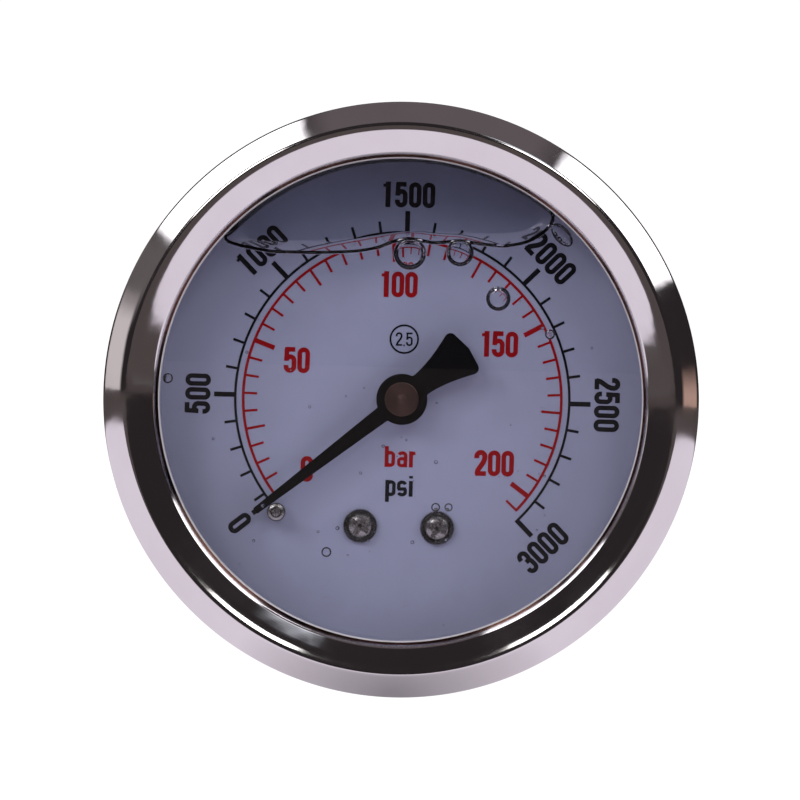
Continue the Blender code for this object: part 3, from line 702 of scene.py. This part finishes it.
def thread_radius(radius, depth, degrees):
    """Right-handed taper thread that runs out at both ends."""
    if radius < THREAD_ROOT:
        return radius
    phase = (depth / THREAD_PITCH - degrees / 360.0) % 1.0
    groove = THREAD_DEEP * within_one(1.12 - 2.4 * abs(phase - 0.5))
    return max(THREAD_ROOT - 0.35, radius - groove)


def build_thread():
    front = THREAD_START - 0.8
    length = STEM_END - front
    steps = int(length / THREAD_PITCH * 14)
    profile = [(STEM_BORE, front), (THREAD_ROOT - 0.05, front)]
    for i in range(1, steps + 1):
        depth = front + length * i / steps
        entry = THREAD_ROOT + (depth - front) * 1.1
        cone = THREAD_R - (depth - THREAD_START) / 32.0
        profile.append((min(entry, cone, cone - 1.1 + (STEM_END - depth)), depth))
    profile += [(STEM_BORE + 0.35, STEM_END), (STEM_BORE, STEM_END - 0.35)]
    turned("stem_thread", "brass", BRASS, profile, 96, shape=thread_radius)


def build_socket():
    """Brass body: arm for the tube and dial posts, milled neck and the threaded stem."""
    flats_front, flats_back = FLATS
    shoulder, neck_front, bore_end = 22.8, 24.8, 28.0
    neck_back = THREAD_START - 0.4
    stem = turned("stem_body", "brass", BRASS, [
        (0.0, shoulder), (10.0, shoulder, 0.2), (10.0, neck_front),
        (NECK_R, neck_front), (NECK_R, flats_back, 0.5), (THREAD_ROOT, flats_back),
        (THREAD_ROOT, neck_back), (STEM_BORE, neck_back),
        (STEM_BORE, bore_end), (0.0, bore_end),
    ], 120, replaced="socket")
    rounds = [((0.0, 0.0), 15.0), (TUBE_ROOT_PAD, 3.8)] + [(at, 2.9) for at in DIAL_SCREWS]
    outline = convex([p for at, r in rounds for p in ring_of(at, r, 72)])
    combine(stem, [sheet_mesh([outline], *ARM)], "UNION")
    tools = []
    middle = (flats_front + flats_back + 1.0) / 2
    size = (FLAT_CUT, flats_back + 1.0 - flats_front, 24.0)
    for turn in (0.0, 90.0, 180.0, 270.0):
        x, z = polar(HALF_FLATS + FLAT_CUT / 2, turn)
        tools.append(box_mesh(size, (x, middle, z), -turn))
    holes = [(at, 1.5, 22.0, 24.9) for at in DIAL_SCREWS]
    holes += [(centre(f"movement_screw_{name}"), 1.1, 22.0, 25.9) for name in ("lower", "upper")]
    holes += [(centre(node), CASE_HOLE_R, 25.9, 30.0) for node in CASE_SCREWS]
    tools += [drill(*hole) for hole in holes]
    tools.append(sweep_mesh([tube_ring(a, -0.12) for a in range(600, 618)]))
    combine(stem, tools)
    bevel(stem, 0.15, 50.0)
    build_thread()


# ---- flexing parts of the movement
def loose_piece(name, cage, look, replaced):
    """Piece attached to no body; the node it replaces is hidden."""
    obj = made_object(name, cage, look, 40.0)
    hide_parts(replaced)
    return obj


def weigh(obj, share_of):
    """Bake a piece's transform and work out each vertex's share by a rule of its own; the shares are
    not kept.
    """
    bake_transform(obj)
    values = [share_of(vert.co) for vert in obj.data.vertices]


def tube_ring(degrees, shrink):
    """Oval section of the coiled tube; its depth grows along the coil."""
    count = 20
    depth = TUBE_TIP_DEPTH + TUBE_PITCH * (degrees - TUBE_START) / 360.0
    ring = []
    for i in range(count):
        turn = 2 * math.pi * i / count
        x, z = polar(TUBE_R + (TUBE_HALF[0] - shrink) * math.cos(turn), degrees)
        ring.append((x, depth + (TUBE_HALF[1] - shrink) * math.sin(turn), z))
    return ring


def share_to_tip(co):
    """Zero at the tube's root, one at its tip, by the angle along the coil."""
    here = math.degrees(math.atan2(co.z, co.x))
    depth = co.y / MM - CROWN
    guess = TUBE_START + (depth - TUBE_TIP_DEPTH) / TUBE_PITCH * 360.0
    along = here + 360.0 * round((guess - here) / 360.0)
    return within_one((TUBE_END - along) / (TUBE_END - TUBE_START))


def build_bourdon_tube():
    steps = 230
    angles = [TUBE_START + (TUBE_END - TUBE_START) * i / steps for i in range(steps + 1)]
    stations = [tube_ring(a, 0.0) for a in angles] + [tube_ring(a, 0.35) for a in reversed(angles)]
    tube = loose_piece("tube_coil", sweep_mesh(stations, True), BRONZE, "bourdon_tube")
    weigh(tube, share_to_tip)


def build_hairspring():
    """Flat strip wound in five turns between the collet and its stud."""
    front, back = depths("hairspring")
    middle = (front + back) / 2
    near, far = middle - 0.2, middle + 0.2
    stations = []
    steps = 300
    for i in range(steps + 1):
        share = i / steps
        degrees = 194.0 + 360.0 * 5.0 * (share - 1.0)
        radius = SPRING_INNER + (SPRING_OUTER - SPRING_INNER) * share
        sides = [polar(radius + half, degrees) for half in (-0.05, 0.05)]
        ring = [(x, near, z) for x, z in sides] + [(x, far, z) for x, z in sides[::-1]]
        stations.append(ring)
    spring = loose_piece("hairspring_strip", sweep_mesh(stations), BRONZE, "hairspring")

    def share_to_collet(co):
        radius = math.hypot(co.x, co.z) / MM
        return within_one((SPRING_OUTER - radius) / (SPRING_OUTER - SPRING_INNER))

    weigh(spring, share_to_collet)


# ---- dial and its print
DIGIT_STROKE = 0.18  # of the digit's height
SIDE = 0.155  # half width of a digit's centre line
TOP = 1.0 - DIGIT_STROKE / 2
FOOT = DIGIT_STROKE / 2


def bowl(mid_x, low, high, start, end, count, half=SIDE):
    """Part of a rounded oblong's centre line, angles from +X, counter-clockwise."""
    points = []
    for i in range(count + 1):
        angle = math.radians(start + (end - start) * i / count)
        rise = math.sin(angle) * half
        base = high - half if rise >= 0 else low + half
        points.append((mid_x + half * math.cos(angle), base + rise))
    return points


def digits():
    """Strokes of each digit in units of its height: points, width, and True if closed."""
    w = DIGIT_STROKE
    hook = [(-SIDE, 0.68)] + bowl(0, 0.5, TOP, 180, 0, 10)
    upper = [(-SIDE, 0.70)] + bowl(0, 0.52, TOP, 180, -70, 12, SIDE - 0.008)
    lower = bowl(0, FOOT, 0.56, 70, -180, 14) + [(-SIDE, 0.30)]
    waist = [(-0.05, 0.535)]
    belly = bowl(0, FOOT, 0.63, 115, -180, 16) + [(-SIDE, 0.30)]
    return {
        "0": [(bowl(0, FOOT, TOP, 0, 360, 24)[:-1], w * 0.93, True)],
        "1": [([(0.02, 0.0), (0.02, 1.0)], w), ([(-0.17, 0.845), (0.0, 0.87), (0.06, 0.97)], 0.11)],
        "2": [(hook + [(0.15, 0.66), (0.10, 0.52), (-0.10, 0.22), (-0.135, 0.06)], w),
              ([(-0.2, FOOT), (0.215, FOOT)], w * 0.95)],
        "3": [(upper + waist, w * 0.92), (waist + lower, w * 0.92)],
        "5": [([(0.19, TOP), (-0.20, TOP)], w * 0.95), ([(-0.125, 0.97), (-0.145, 0.46)], w * 0.92),
              ([(-0.13, 0.54)] + belly, w * 0.95)],
    }


def letters():
    """The same for lower case and the point; the unit is the ascender's height."""
    w, x = 0.19, 0.78
    side, top, foot = 0.125, x - 0.09, 0.085
    belly = [(-side, x - 0.17)] + bowl(0, foot, top, 110, -110, 12, side) + [(-side, 0.15)]
    roof = bowl(0, 0.2, top, 165, 0, 8, side)
    eye = bowl(-0.01, foot - 0.01, 0.42, 0, 360, 16, side * 0.98)[:-1]
    upper = bowl(0, 0.30, top, 10, 235, 10, side)
    lower = bowl(0, foot, 0.42, 55, -165, 10, side)
    return {
        "b": [([(-side, 0.0), (-side, 1.0)], w), (belly, w * 0.9)],
        "p": [([(-side, -0.28), (-side, x)], w), (belly, w * 0.9)],
        "a": [(roof + [(side, 0.0)], w * 0.9), (eye, w * 0.85, True)],
        "r": [([(-0.08, 0.0), (-0.08, x)], w),
              ([(-0.08, x - 0.2), (-0.03, x - 0.11), (0.08, x - 0.08)], w * 0.85)],
        "s": [(upper[:-1] + lower[1:], w * 0.88)],
        "i": [([(0.0, 0.0), (0.0, x - 0.02)], w), ([(0.0, 0.88), (0.0, 1.0)], w)],
        ".": [([(0.0, 0.0), (0.0, 0.13)], 0.13)],
    }


GLYPHS = {**digits(), **letters()}


def word(text, at, height, pitches, turn=0.0, weight=1.0, stretch=1.0):
    """Polygons of a word centred on a place; turn is counter-clockwise in degrees."""
    cursor = -sum(pitches) / 2
    quads = []
    spin = Matrix.Rotation(math.radians(turn), 2)
    for letter, pitch in zip(text, pitches):
        middle = cursor + pitch / 2
        cursor += pitch
        for points, width, *closed in GLYPHS[letter]:
            placed = [(x * stretch * height + middle, (z - 0.5) * height) for x, z in points]
            for quad in ribbon(placed, width * height * weight, bool(closed)):
                quads.append([tuple(spin @ Vector(p) + Vector(at)) for p in quad])
    return quads


def psi_angle(psi):
    return PSI_ZERO if psi == 0 else PSI_ORIGIN - PSI_STEP * psi / 100.0


def bar_angle(bar):
    return PSI_ZERO if bar == 0 else PSI_ORIGIN - BAR_STEP * bar


def tick(radius, reach, degrees, width):
    return ribbon([polar(radius, degrees), polar(radius + reach, degrees)], width)


def black_print():
    quads = ribbon(arc((0, 0), BLACK_ARC_R, PSI_ZERO, psi_angle(3000), 180), 0.29)
    for psi in range(0, 3001, 100):
        major = psi % 500 == 0
        reach, width = (2.6, 0.56) if major else (1.56, 0.31)
        quads += tick(BLACK_ARC_R - 0.14, reach, psi_angle(psi), width)
        if major:
            label = str(psi)
            at = polar(LABEL_R, psi_angle(psi))
            turn = psi_angle(psi) - 90.0
            if turn < -91.0:
                turn += 180.0
            quads += word(label, at, 2.95, [1.6] * len(label), turn, 1.08)
    quads += word("psi", (-0.04, -10.06), 2.4, [1.4, 1.24, 0.8], stretch=1.3)
    quads += word("2.5", CLASS_MARK, 1.66, [0.8, 0.4, 0.8], weight=0.72, stretch=1.1)
    quads += ribbon(ring_of(CLASS_MARK, 1.6), 0.22, True)
    return quads


RED_LABELS = (("0", (-10.82, -8.38)), ("50", (-12.32, 4.18)), ("100", (-0.71, 13.26)),
              ("150", (11.1, 6.67)), ("200", (10.84, -7.12)))


def red_print():
    quads = ribbon(arc((0, 0), RED_ARC_R, PSI_ZERO, bar_angle(205), 180), 0.31)
    for bar in [0] + list(range(10, 206, 5)):
        reach, width = (1.65, 0.28)
        if bar % 25 == 0:
            reach, width = (2.28, 0.3)
        if bar % 50 == 0:
            reach, width = (2.52, 0.56)
        quads += tick(RED_ARC_R + 0.14, -reach - 0.1, bar_angle(bar), width)
    for label, at in RED_LABELS:
        pitches = [1.25 if d == "1" else 1.56 for d in label]
        quads += word(label, at, 2.98, pitches, 0.0, 1.08)
    quads += word("bar", (0.04, -6.68), 2.4, [1.42, 1.42, 1.1], stretch=1.3)
    return quads


def build_dial_print():
    front = DIAL_FRONT - 0.03
    black = sheet_mesh(black_print(), front, DIAL_FRONT)
    piece("dial_print_black", black, "pointer_black", BLACK_INK)
    red = sheet_mesh(red_print(), front, DIAL_FRONT)
    piece("dial_print_red", red, "dial_white", RED_INK)


# ---- pointer
def along_pointer(reach, side):
    spin = Matrix.Rotation(math.radians(PSI_ZERO), 2)
    return tuple(spin @ Vector((reach, side)))


def pointer_outline():
    """Blunt tapered blade, round hub and a flared tail with rounded corners."""
    upper = [(21.3, 0.4, 0.08), (2.8, 0.95)]
    upper += arc((0, 0), 2.95, 24, 152, 24)
    for i in range(15):
        share = i / 15.0
        upper.append((-2.8 - 5.6 * share, 1.36 + 1.40 * share ** 1.6))
    upper += [(-8.4, 2.76), (-9.25, 3.05, 0.7)]
    lower = [(u, -v, *fillet) for u, v, *fillet in reversed(upper)]
    outline = rounded(upper + [(-9.75, 0.0)] + lower, True, 8)
    return [along_pointer(u, v) for u, v in outline]


def build_pointer():
    front, back = depths("pointer")
    cage = sheet_mesh([pointer_outline()], front, back, [ring_of((0, 0), 1.7, 32)])
    ours = {"replaced": "pointer", "body": "pointer"}
    bevel(piece("pointer_blade", cage, "pointer_black", POINTER_PAINT, **ours), 0.09)
    front, back = depths("pointer_bush")
    face = front + 0.03
    dot = face + 0.05
    bead = front - 0.02
    profile = [(0.0, dot), (0.30, dot), (0.38, bead), (0.46, bead), (0.52, face)]
    for i in range(9):
        ring = 0.62 + 0.13 * i
        profile += [(ring, face), (ring + 0.04, face + 0.012), (ring + 0.08, face)]
    profile += [
        (1.82, face), (1.86, front), (1.98, front + 0.02, 0.03),
        (1.98, front + 0.35, 0.05), (1.4, front + 0.35), (1.4, back),
        (0.0, back),
    ]
    cage = lathe_mesh(profile, 72)
    piece("hub_bush", cage, "bronze", BUSH, replaced="pointer_bush", body="pointer")


# ---- screws and stop pin
DIAL_SCREW_DOME = (  # radius, and depth behind the head's middle
    (0.0, 0.0), (0.6, 0.015), (0.8, 0.035), (0.95, 0.06), (1.1, 0.095), (1.28, 0.155), (1.45, 0.24),
    (1.6, 0.34), (1.72, 0.45), (1.82, 0.565), (1.9, 0.68), (2.0, 1.0), (0.9, 1.0))


def cross_tools(at, depth, sink, length, width, turn):
    """Cutters of a cross recess; sink is positive away from the front."""
    tools = []
    for extra in (0.0, 90.0):
        size = (length, abs(sink) * 2, width)
        tools.append(box_mesh(size, (at[0], depth, at[1]), turn + extra))
    bottom, open_end = depth + sink * 1.2, depth - sink
    throat, mouth = length * 0.12, length * 0.2
    dimple = [(0.0, bottom), (throat, depth + sink * 0.95), (mouth, open_end), (0.0, open_end)]
    tools.append(lathe_mesh(dimple, 24, at))
    return tools


def build_dial_screws():
    for side, turn in (("left", 32.0), ("right", 24.0)):
        node = f"dial_screw_{side}"
        at = centre(node)
        front, back = depths(node)
        profile = [(radius, front + drop) for radius, drop in DIAL_SCREW_DOME]
        profile += [(0.9, back), (0.0, back)]
        screw = turned(f"{node}_head", "screw_steel", NICKEL, profile, 64, at, replaced=node)
        combine(screw, cross_tools(at, front, 0.7, 2.3, 0.62, turn), sharp=6.0)


def build_stop_pin():
    at = centre("stop_pin")
    front, back = depths("stop_pin")
    foot = DIAL_FRONT - 0.05
    turned("stop_pin_turned", "brass", NICKEL, [
        (0.0, front), (0.5, front, 0.1), (0.62, front + 0.35, 0.1),
        (1.05, front + 0.4, 0.15), (1.05, foot), (0.6, foot),
        (0.6, back), (0.0, back),
    ], 48, at, replaced="stop_pin")


# ---- liquid, air and bubbles
BUBBLES = [  # x, z and radius of the larger bubbles
    (0.5, 16.85, 1.9), (6.28, 17.1, 1.6), (10.84, 11.93, 1.42), (16.91, 7.98, 0.58), (-27.0, 1.71, 0.6),
    (-8.15, -17.82, 0.58), (4.3, -12.31, 0.52), (5.79, -12.27, 0.48)]
POCKET_FRONT = [  # lower edge of the air pocket where it meets the window
    (-21.19, 18.03), (-20.03, 17.66), (-18.42, 17.3), (-15.42, 16.82), (-10.27, 16.84), (-5.92, 17.08),
    (-3.3, 17.56), (-1.94, 18.22), (-0.81, 18.62), (0.45, 18.78), (1.71, 18.65), (2.87, 18.3),
    (4.7, 18.45), (6.3, 18.75), (8.13, 18.4), (11.47, 18.15), (13.97, 18.68), (15.77, 19.82),
    (17.0, 21.27)]
POCKET_BACK = [  # and where it meets the dial
    (-19.24, 18.2), (-18.43, 17.93), (-16.6, 17.87), (-13.85, 18.01), (-9.16, 18.02), (-5.96, 18.45),
    (-3.11, 18.99), (-0.14, 19.53), (1.69, 19.53), (3.41, 19.4), (6.62, 19.49), (9.6, 19.35),
    (12.12, 19.53), (13.94, 19.98), (15.29, 20.88), (15.96, 21.59)]
POCKET_WALL = [  # share of the depth, and how far the wall bulges outwards
    (0.0, 0.0), (0.02, 0.09), (0.04, 0.18), (0.06, 0.27), (0.08, 0.35), (0.10, 0.41), (0.125, 0.46),
    (0.155, 0.485), (0.19, 0.48), (0.23, 0.46), (0.28, 0.42), (0.34, 0.36), (0.42, 0.28), (0.52, 0.18),
    (0.64, 0.09), (0.76, 0.03), (0.88, 0.0), (1.0, 0.0)]


def even(points, count):
    """The same line, with its points evenly spaced."""
    path = [Vector(p) for p in points]
    lengths = [0.0]
    for a, b in zip(path, path[1:]):
        lengths.append(lengths[-1] + (b - a).length)
    out, k = [], 0
    for i in range(count):
        want = lengths[-1] * i / (count - 1)
        while k < len(path) - 2 and lengths[k + 1] < want:
            k += 1
        share = (want - lengths[k]) / max(1e-9, lengths[k + 1] - lengths[k])
        out.append(tuple(path[k].lerp(path[k + 1], share)))
    return out


def smooth_loop(points, rounds):
    for _ in range(rounds):
        count = len(points)
        path = [Vector(p) for p in points]
        points = [tuple((path[i - 1] + path[i] * 2 + path[(i + 1) % count]) / 4) for i in range(count)]
    return points


def pocket_loop(lower, radius, rounds):
    """Outline of the air pocket in one plane: arc under the ring, then the lower edge."""
    left, right = lower[0], lower[-1]
    start = math.degrees(math.atan2(left[1], left[0])) - 0.5
    end = math.degrees(math.atan2(right[1], right[0])) + 0.5
    top = even(arc((0, 0), radius, start, end, 60), 90)
    return smooth_loop(top + even(lower[::-1], 112)[1:-1], rounds)


def build_air_pocket(front, back):
    """Wide against the window, narrower against the dial, with a rounded wall between."""
    wide = pocket_loop(POCKET_FRONT, 27.75, 5)
    narrow = pocket_loop(POCKET_BACK, 26.95, 9)
    outward = []
    for i, p in enumerate(wide):
        along = (Vector(wide[(i + 1) % len(wide)]) - Vector(wide[i - 1])).normalized()
        outward.append(Vector((-along.y, along.x)))
    cage = bmesh.new()
    rings = []
    for rise, swell in POCKET_WALL:
        depth = front + (back - front) * rise
        ring = []
        for p, q, out in zip(wide, narrow, outward):
            x, z = Vector(p).lerp(Vector(q), rise ** 1.5) + out * swell
            ring.append(cage.verts.new(metres(x, z, depth)))
        rings.append(ring)
    caps = [cage.faces.new(rings[0]), cage.faces.new(rings[-1])]
    bmesh.ops.triangulate(cage, faces=caps)
    skin(cage, rings, False)
    piece("air_pocket", cage, "clear_window", AIR, 50.0)


def bubble_mesh(x, z, radius, front, stretch=1.0, lean=0.0):
    """Bubble pressed against the window, with a tall dome towards the dial."""
    steps = 48 if radius > 0.4 else 12
    turns = 16 if radius > 0.4 else 5
    waist = front + radius * 0.6
    profile = [(r * radius, front + d * radius) for r, d in ((0.0, 0.0), (0.4, 0.02), (0.7, 0.07))]
    for i in range(1, turns + 1):
        angle = math.radians(-55.0 + 145.0 * i / turns)
        reach = radius * 1.3 if angle > 0.0 else radius * 0.58
        profile.append((radius * math.cos(angle), waist + reach * math.sin(angle)))
    profile[-1] = (0.0, profile[-1][1])
    cage = lathe_mesh(profile, steps)
    turn = Matrix.Rotation(-math.radians(lean), 4, "Y")
    place = Matrix.Translation((x * MM, 0.0, z * MM)) @ turn @ Matrix.Diagonal((stretch, 1.0, 1.0, 1.0))
    bmesh.ops.transform(cage, matrix=place, verts=cage.verts)
    return cage


def build_bubble(name, *shape):
    piece(name, bubble_mesh(*shape), "clear_window", BUBBLE, 50.0)


def build_liquid():
    front, back = WINDOW_BACK + 0.03, DIAL_FRONT - 0.06
    wet_r = CAN_R - CAN_WALL - 0.15
    behind_gasket = depths("window_gasket")[1] + 0.1
    turned("glycerine_fill", "clear_window", GLYCERINE, [
        (0.0, front), (28.5, front, 0.1), (28.5, behind_gasket),
        (wet_r, behind_gasket + 0.5), (wet_r, back, 0.1), (0.0, back),
    ], 160, sharp=FLAT_OPTICS)
    build_air_pocket(front + 0.02, back - 0.02)
    build_bubble("pocket_small", 17.96, 19.47, 0.9, front + 0.03, 1.8, -48.0)
    spots = list(BUBBLES)
    while len(spots) < 34:
        x, z = polar(rng.uniform(3, 26.5), rng.uniform(150, 390))
        spots.append((x, z, rng.uniform(0.07, 0.24)))
    for number, spot in enumerate(spots, 1):
        build_bubble(f"bubble_{number:02d}", *spot, front + 0.03)


# ---- carried-over CAD nodes
LOOKS = {"satin_steel": SATIN, "polished_steel": POLISHED, "black_rubber": RUBBER, "brass": BRASS,
         "bronze": BRONZE, "screw_steel": NICKEL, "dial_white": ENAMEL, "pointer_black": POINTER_PAINT}


def dress_nodes():
    slots = {entry["node"]: entry["material_slot"] for entry in frame["record"]["subparts"]}
    for name, node in frame["nodes"].items():
        look = BUSH if name == "pinion_arbor" else LOOKS.get(slots[name])
        if look:
            node.data.materials.clear()
            node.data.materials.append(look)
            bevel(node, 0.05, 30.0)


# ---- studio
BACKDROP = 1.05  # white just over full, for the camera only


def floor_material():
    """White to the camera; in reflections a lit sheet that ends a hand's width away, with a painted
    contact shadow near the bezel's foot.
    """
    n = Nodes("studio_floor")
    place = n.point()
    touching = (0.0, CROWN + 3.0, -BEZEL_R)
    reach = n.add("ShaderNodeVectorMath", place, operation="LENGTH").outputs["Value"]
    contact_shadow_distance = n.add("ShaderNodeVectorMath", place, touching, operation="DISTANCE").outputs["Value"]
    near = n.ramp(n.split(place)[1], -132.0, -122.0)
    sheet = n.math("MULTIPLY", near, n.ramp(reach, 280.0, 330.0, 1.0, 0.0))
    # painted contact shadow: the sheet goes from dark grey at the bezel's foot to pale 22 mm away
    white = n.mix(n.ramp(contact_shadow_distance, 1.0, 22.0), (0.24, 0.22, 0.245), (0.66, 0.60, 0.67))
    lit = n.mix(sheet, (0.03, 0.018, 0.015), white)
    camera = n.add("ShaderNodeLightPath").outputs["Is Camera Ray"]
    n.set(Base_Color=(0.05, 0.05, 0.05, 1.0), Roughness=0.9, Specular_IOR_Level=0.0)
    n.set(Emission_Color=n.mix(camera, lit, (BACKDROP,) * 3), Emission_Strength=1.0)
    return n.material


def build_floor():
    cage = bmesh.new()
    bmesh.ops.create_circle(cage, cap_ends=True, segments=96, radius=6.0)
    bmesh.ops.translate(cage, vec=(0.0, 0.0, -(BEZEL_R + 0.02) * MM), verts=cage.verts)
    made_object("floor", cage, floor_material())


LAMPS = [  # name, place, size in metres, power in watts, colour
    ("key_left", (-0.59, -0.54, 0.41), 0.16, 1.05, (0.94, 0.95, 1.0)),
    ("fill_front", (-0.15, -1.3, 0.06), 1.2, 2.7, (0.93, 0.95, 1.0)),
    ("fill_right", (0.75, -0.5, 0.0), 0.5, 1.9, (0.93, 0.95, 1.0)),
]


def build_lamp(name, place, size, power, colour):
    """Soft lamp that lights the dial but is mirrored neither in the metal nor in the window."""
    data = bpy.data.lights.new(name, "AREA")
    data.size = size
    data.energy = power
    data.color = colour
    light = bpy.data.objects.new(name, data)
    light.location = place
    light.rotation_euler = (-Vector(place)).to_track_quat("-Z", "Y").to_euler()
    light.visible_glossy = False
    light.visible_transmission = False
    bpy.context.scene.collection.objects.link(light)


def band(n, value, low, high, soft):
    """One between low and high, with soft ends."""
    rise = n.ramp(value, low - soft, low + soft)
    fall = n.ramp(value, high - soft, high + soft, 1.0, 0.0)
    return n.math("MULTIPLY", rise, fall)


class WorldNodes(Nodes):
    def __init__(self, name):
        self.world = bpy.data.worlds.new(name)
        self.world.use_nodes = True
        self.tree = self.world.node_tree
        self.tree.nodes.clear()


def build_world():
    """White behind the gauge for the camera; a dim room with soft boxes for reflections.

    A direction is its tilt from the camera's side (-Y) and its turn round the line of
    sight, both in degrees.
    """
    n = WorldNodes("studio")
    bpy.context.scene.world = n.world
    x, y, z = n.split(n.add("ShaderNodeTexCoord").outputs["Generated"])
    tilt = n.math("DEGREES", n.math("ARCCOSINE", n.math("MULTIPLY", y, -1.0)))
    turn = n.math("DEGREES", n.math("ARCTAN2", z, x))
    colour = n.mix(0.0, ROOM, ROOM)
    for turns, tilts, soft, tone in SOFT_BOXES:
        mask = n.math("MULTIPLY", band(n, turn, *turns, soft), band(n, tilt, *tilts, soft))
        colour = n.mix(mask, colour, tone)
    room = n.add("ShaderNodeBackground", Color=colour)
    white = n.add("ShaderNodeBackground", Color=(1.0, 1.0, 1.0, 1.0), Strength=BACKDROP)
    camera = n.add("ShaderNodeLightPath").outputs["Is Camera Ray"]
    n.add("ShaderNodeOutputWorld", Surface=n.mix_shader(camera, room, white))


ROOM = (0.020, 0.016, 0.017)
SOFT_BOXES = [  # turn range, tilt range, softness, light
    ((60, 112), (64, 180), 5, (0.11, 0.092, 0.097)),
    ((148, 164), (64, 180), 4, (0.11, 0.095, 0.095)),
    ((163, 185), (80, 124), 3, (0.55, 0.50, 0.50)),
    ((-6, 5), (84, 120), 3, (0.42, 0.27, 0.22)),
    ((113.5, 147.5), (64, 126), 1.2, (2.2, 2.15, 2.2)),
    ((26, 58), (64, 126), 1.2, (2.2, 2.15, 2.2)),
    ((60, 74), (56, 62), 2, (1.2, 1.25, 1.35)),
    ((50, 70), (28, 44), 2, (5, 4.9, 4.7)),
    ((120, 142), (28, 44), 2, (5, 4.9, 4.7)),
    ((228, 312), (24, 32), 2, (0.5, 0.5, 0.5)),
]


VIEW_WIDTH = 0.0916  # metres across the picture at the bezel's crown
VIEW_DISTANCE = 0.9
VIEW_AZIMUTH, VIEW_ELEVATION, VIEW_ROLL = 1.5, 0.6, 1.6
SENSOR_WIDTH = 36.0


def build_camera():
    data = bpy.data.cameras.new("camera")
    data.sensor_width = SENSOR_WIDTH
    data.lens = SENSOR_WIDTH * VIEW_DISTANCE / VIEW_WIDTH
    data.clip_start, data.clip_end = 0.05, 20.0
    camera = bpy.data.objects.new("camera", data)
    a, e = math.radians(VIEW_AZIMUTH), math.radians(VIEW_ELEVATION)
    back = Vector((math.sin(a) * math.cos(e), -math.cos(a) * math.cos(e), math.sin(e)))
    place = Matrix.Translation(Vector((0.0, CROWN * MM, 0.0)) + back * VIEW_DISTANCE)
    turn = (-back).to_track_quat("-Z", "Y").to_matrix().to_4x4()
    camera.matrix_world = place @ turn @ Matrix.Rotation(math.radians(VIEW_ROLL), 4, "Z")
    bpy.context.scene.collection.objects.link(camera)
    bpy.context.scene.camera = camera


def build_studio():
    build_floor()
    build_world()
    for values in LAMPS:
        build_lamp(*values)
    build_camera()


bpy.context.scene.view_settings.view_transform = "Standard"
dress_nodes()
build_bezel()
build_window()
build_dial_print()
build_pointer()
build_dial_screws()
build_stop_pin()
build_liquid()
build_case()
build_fill_plug()
build_socket()
build_bourdon_tube()
build_hairspring()
build_studio()
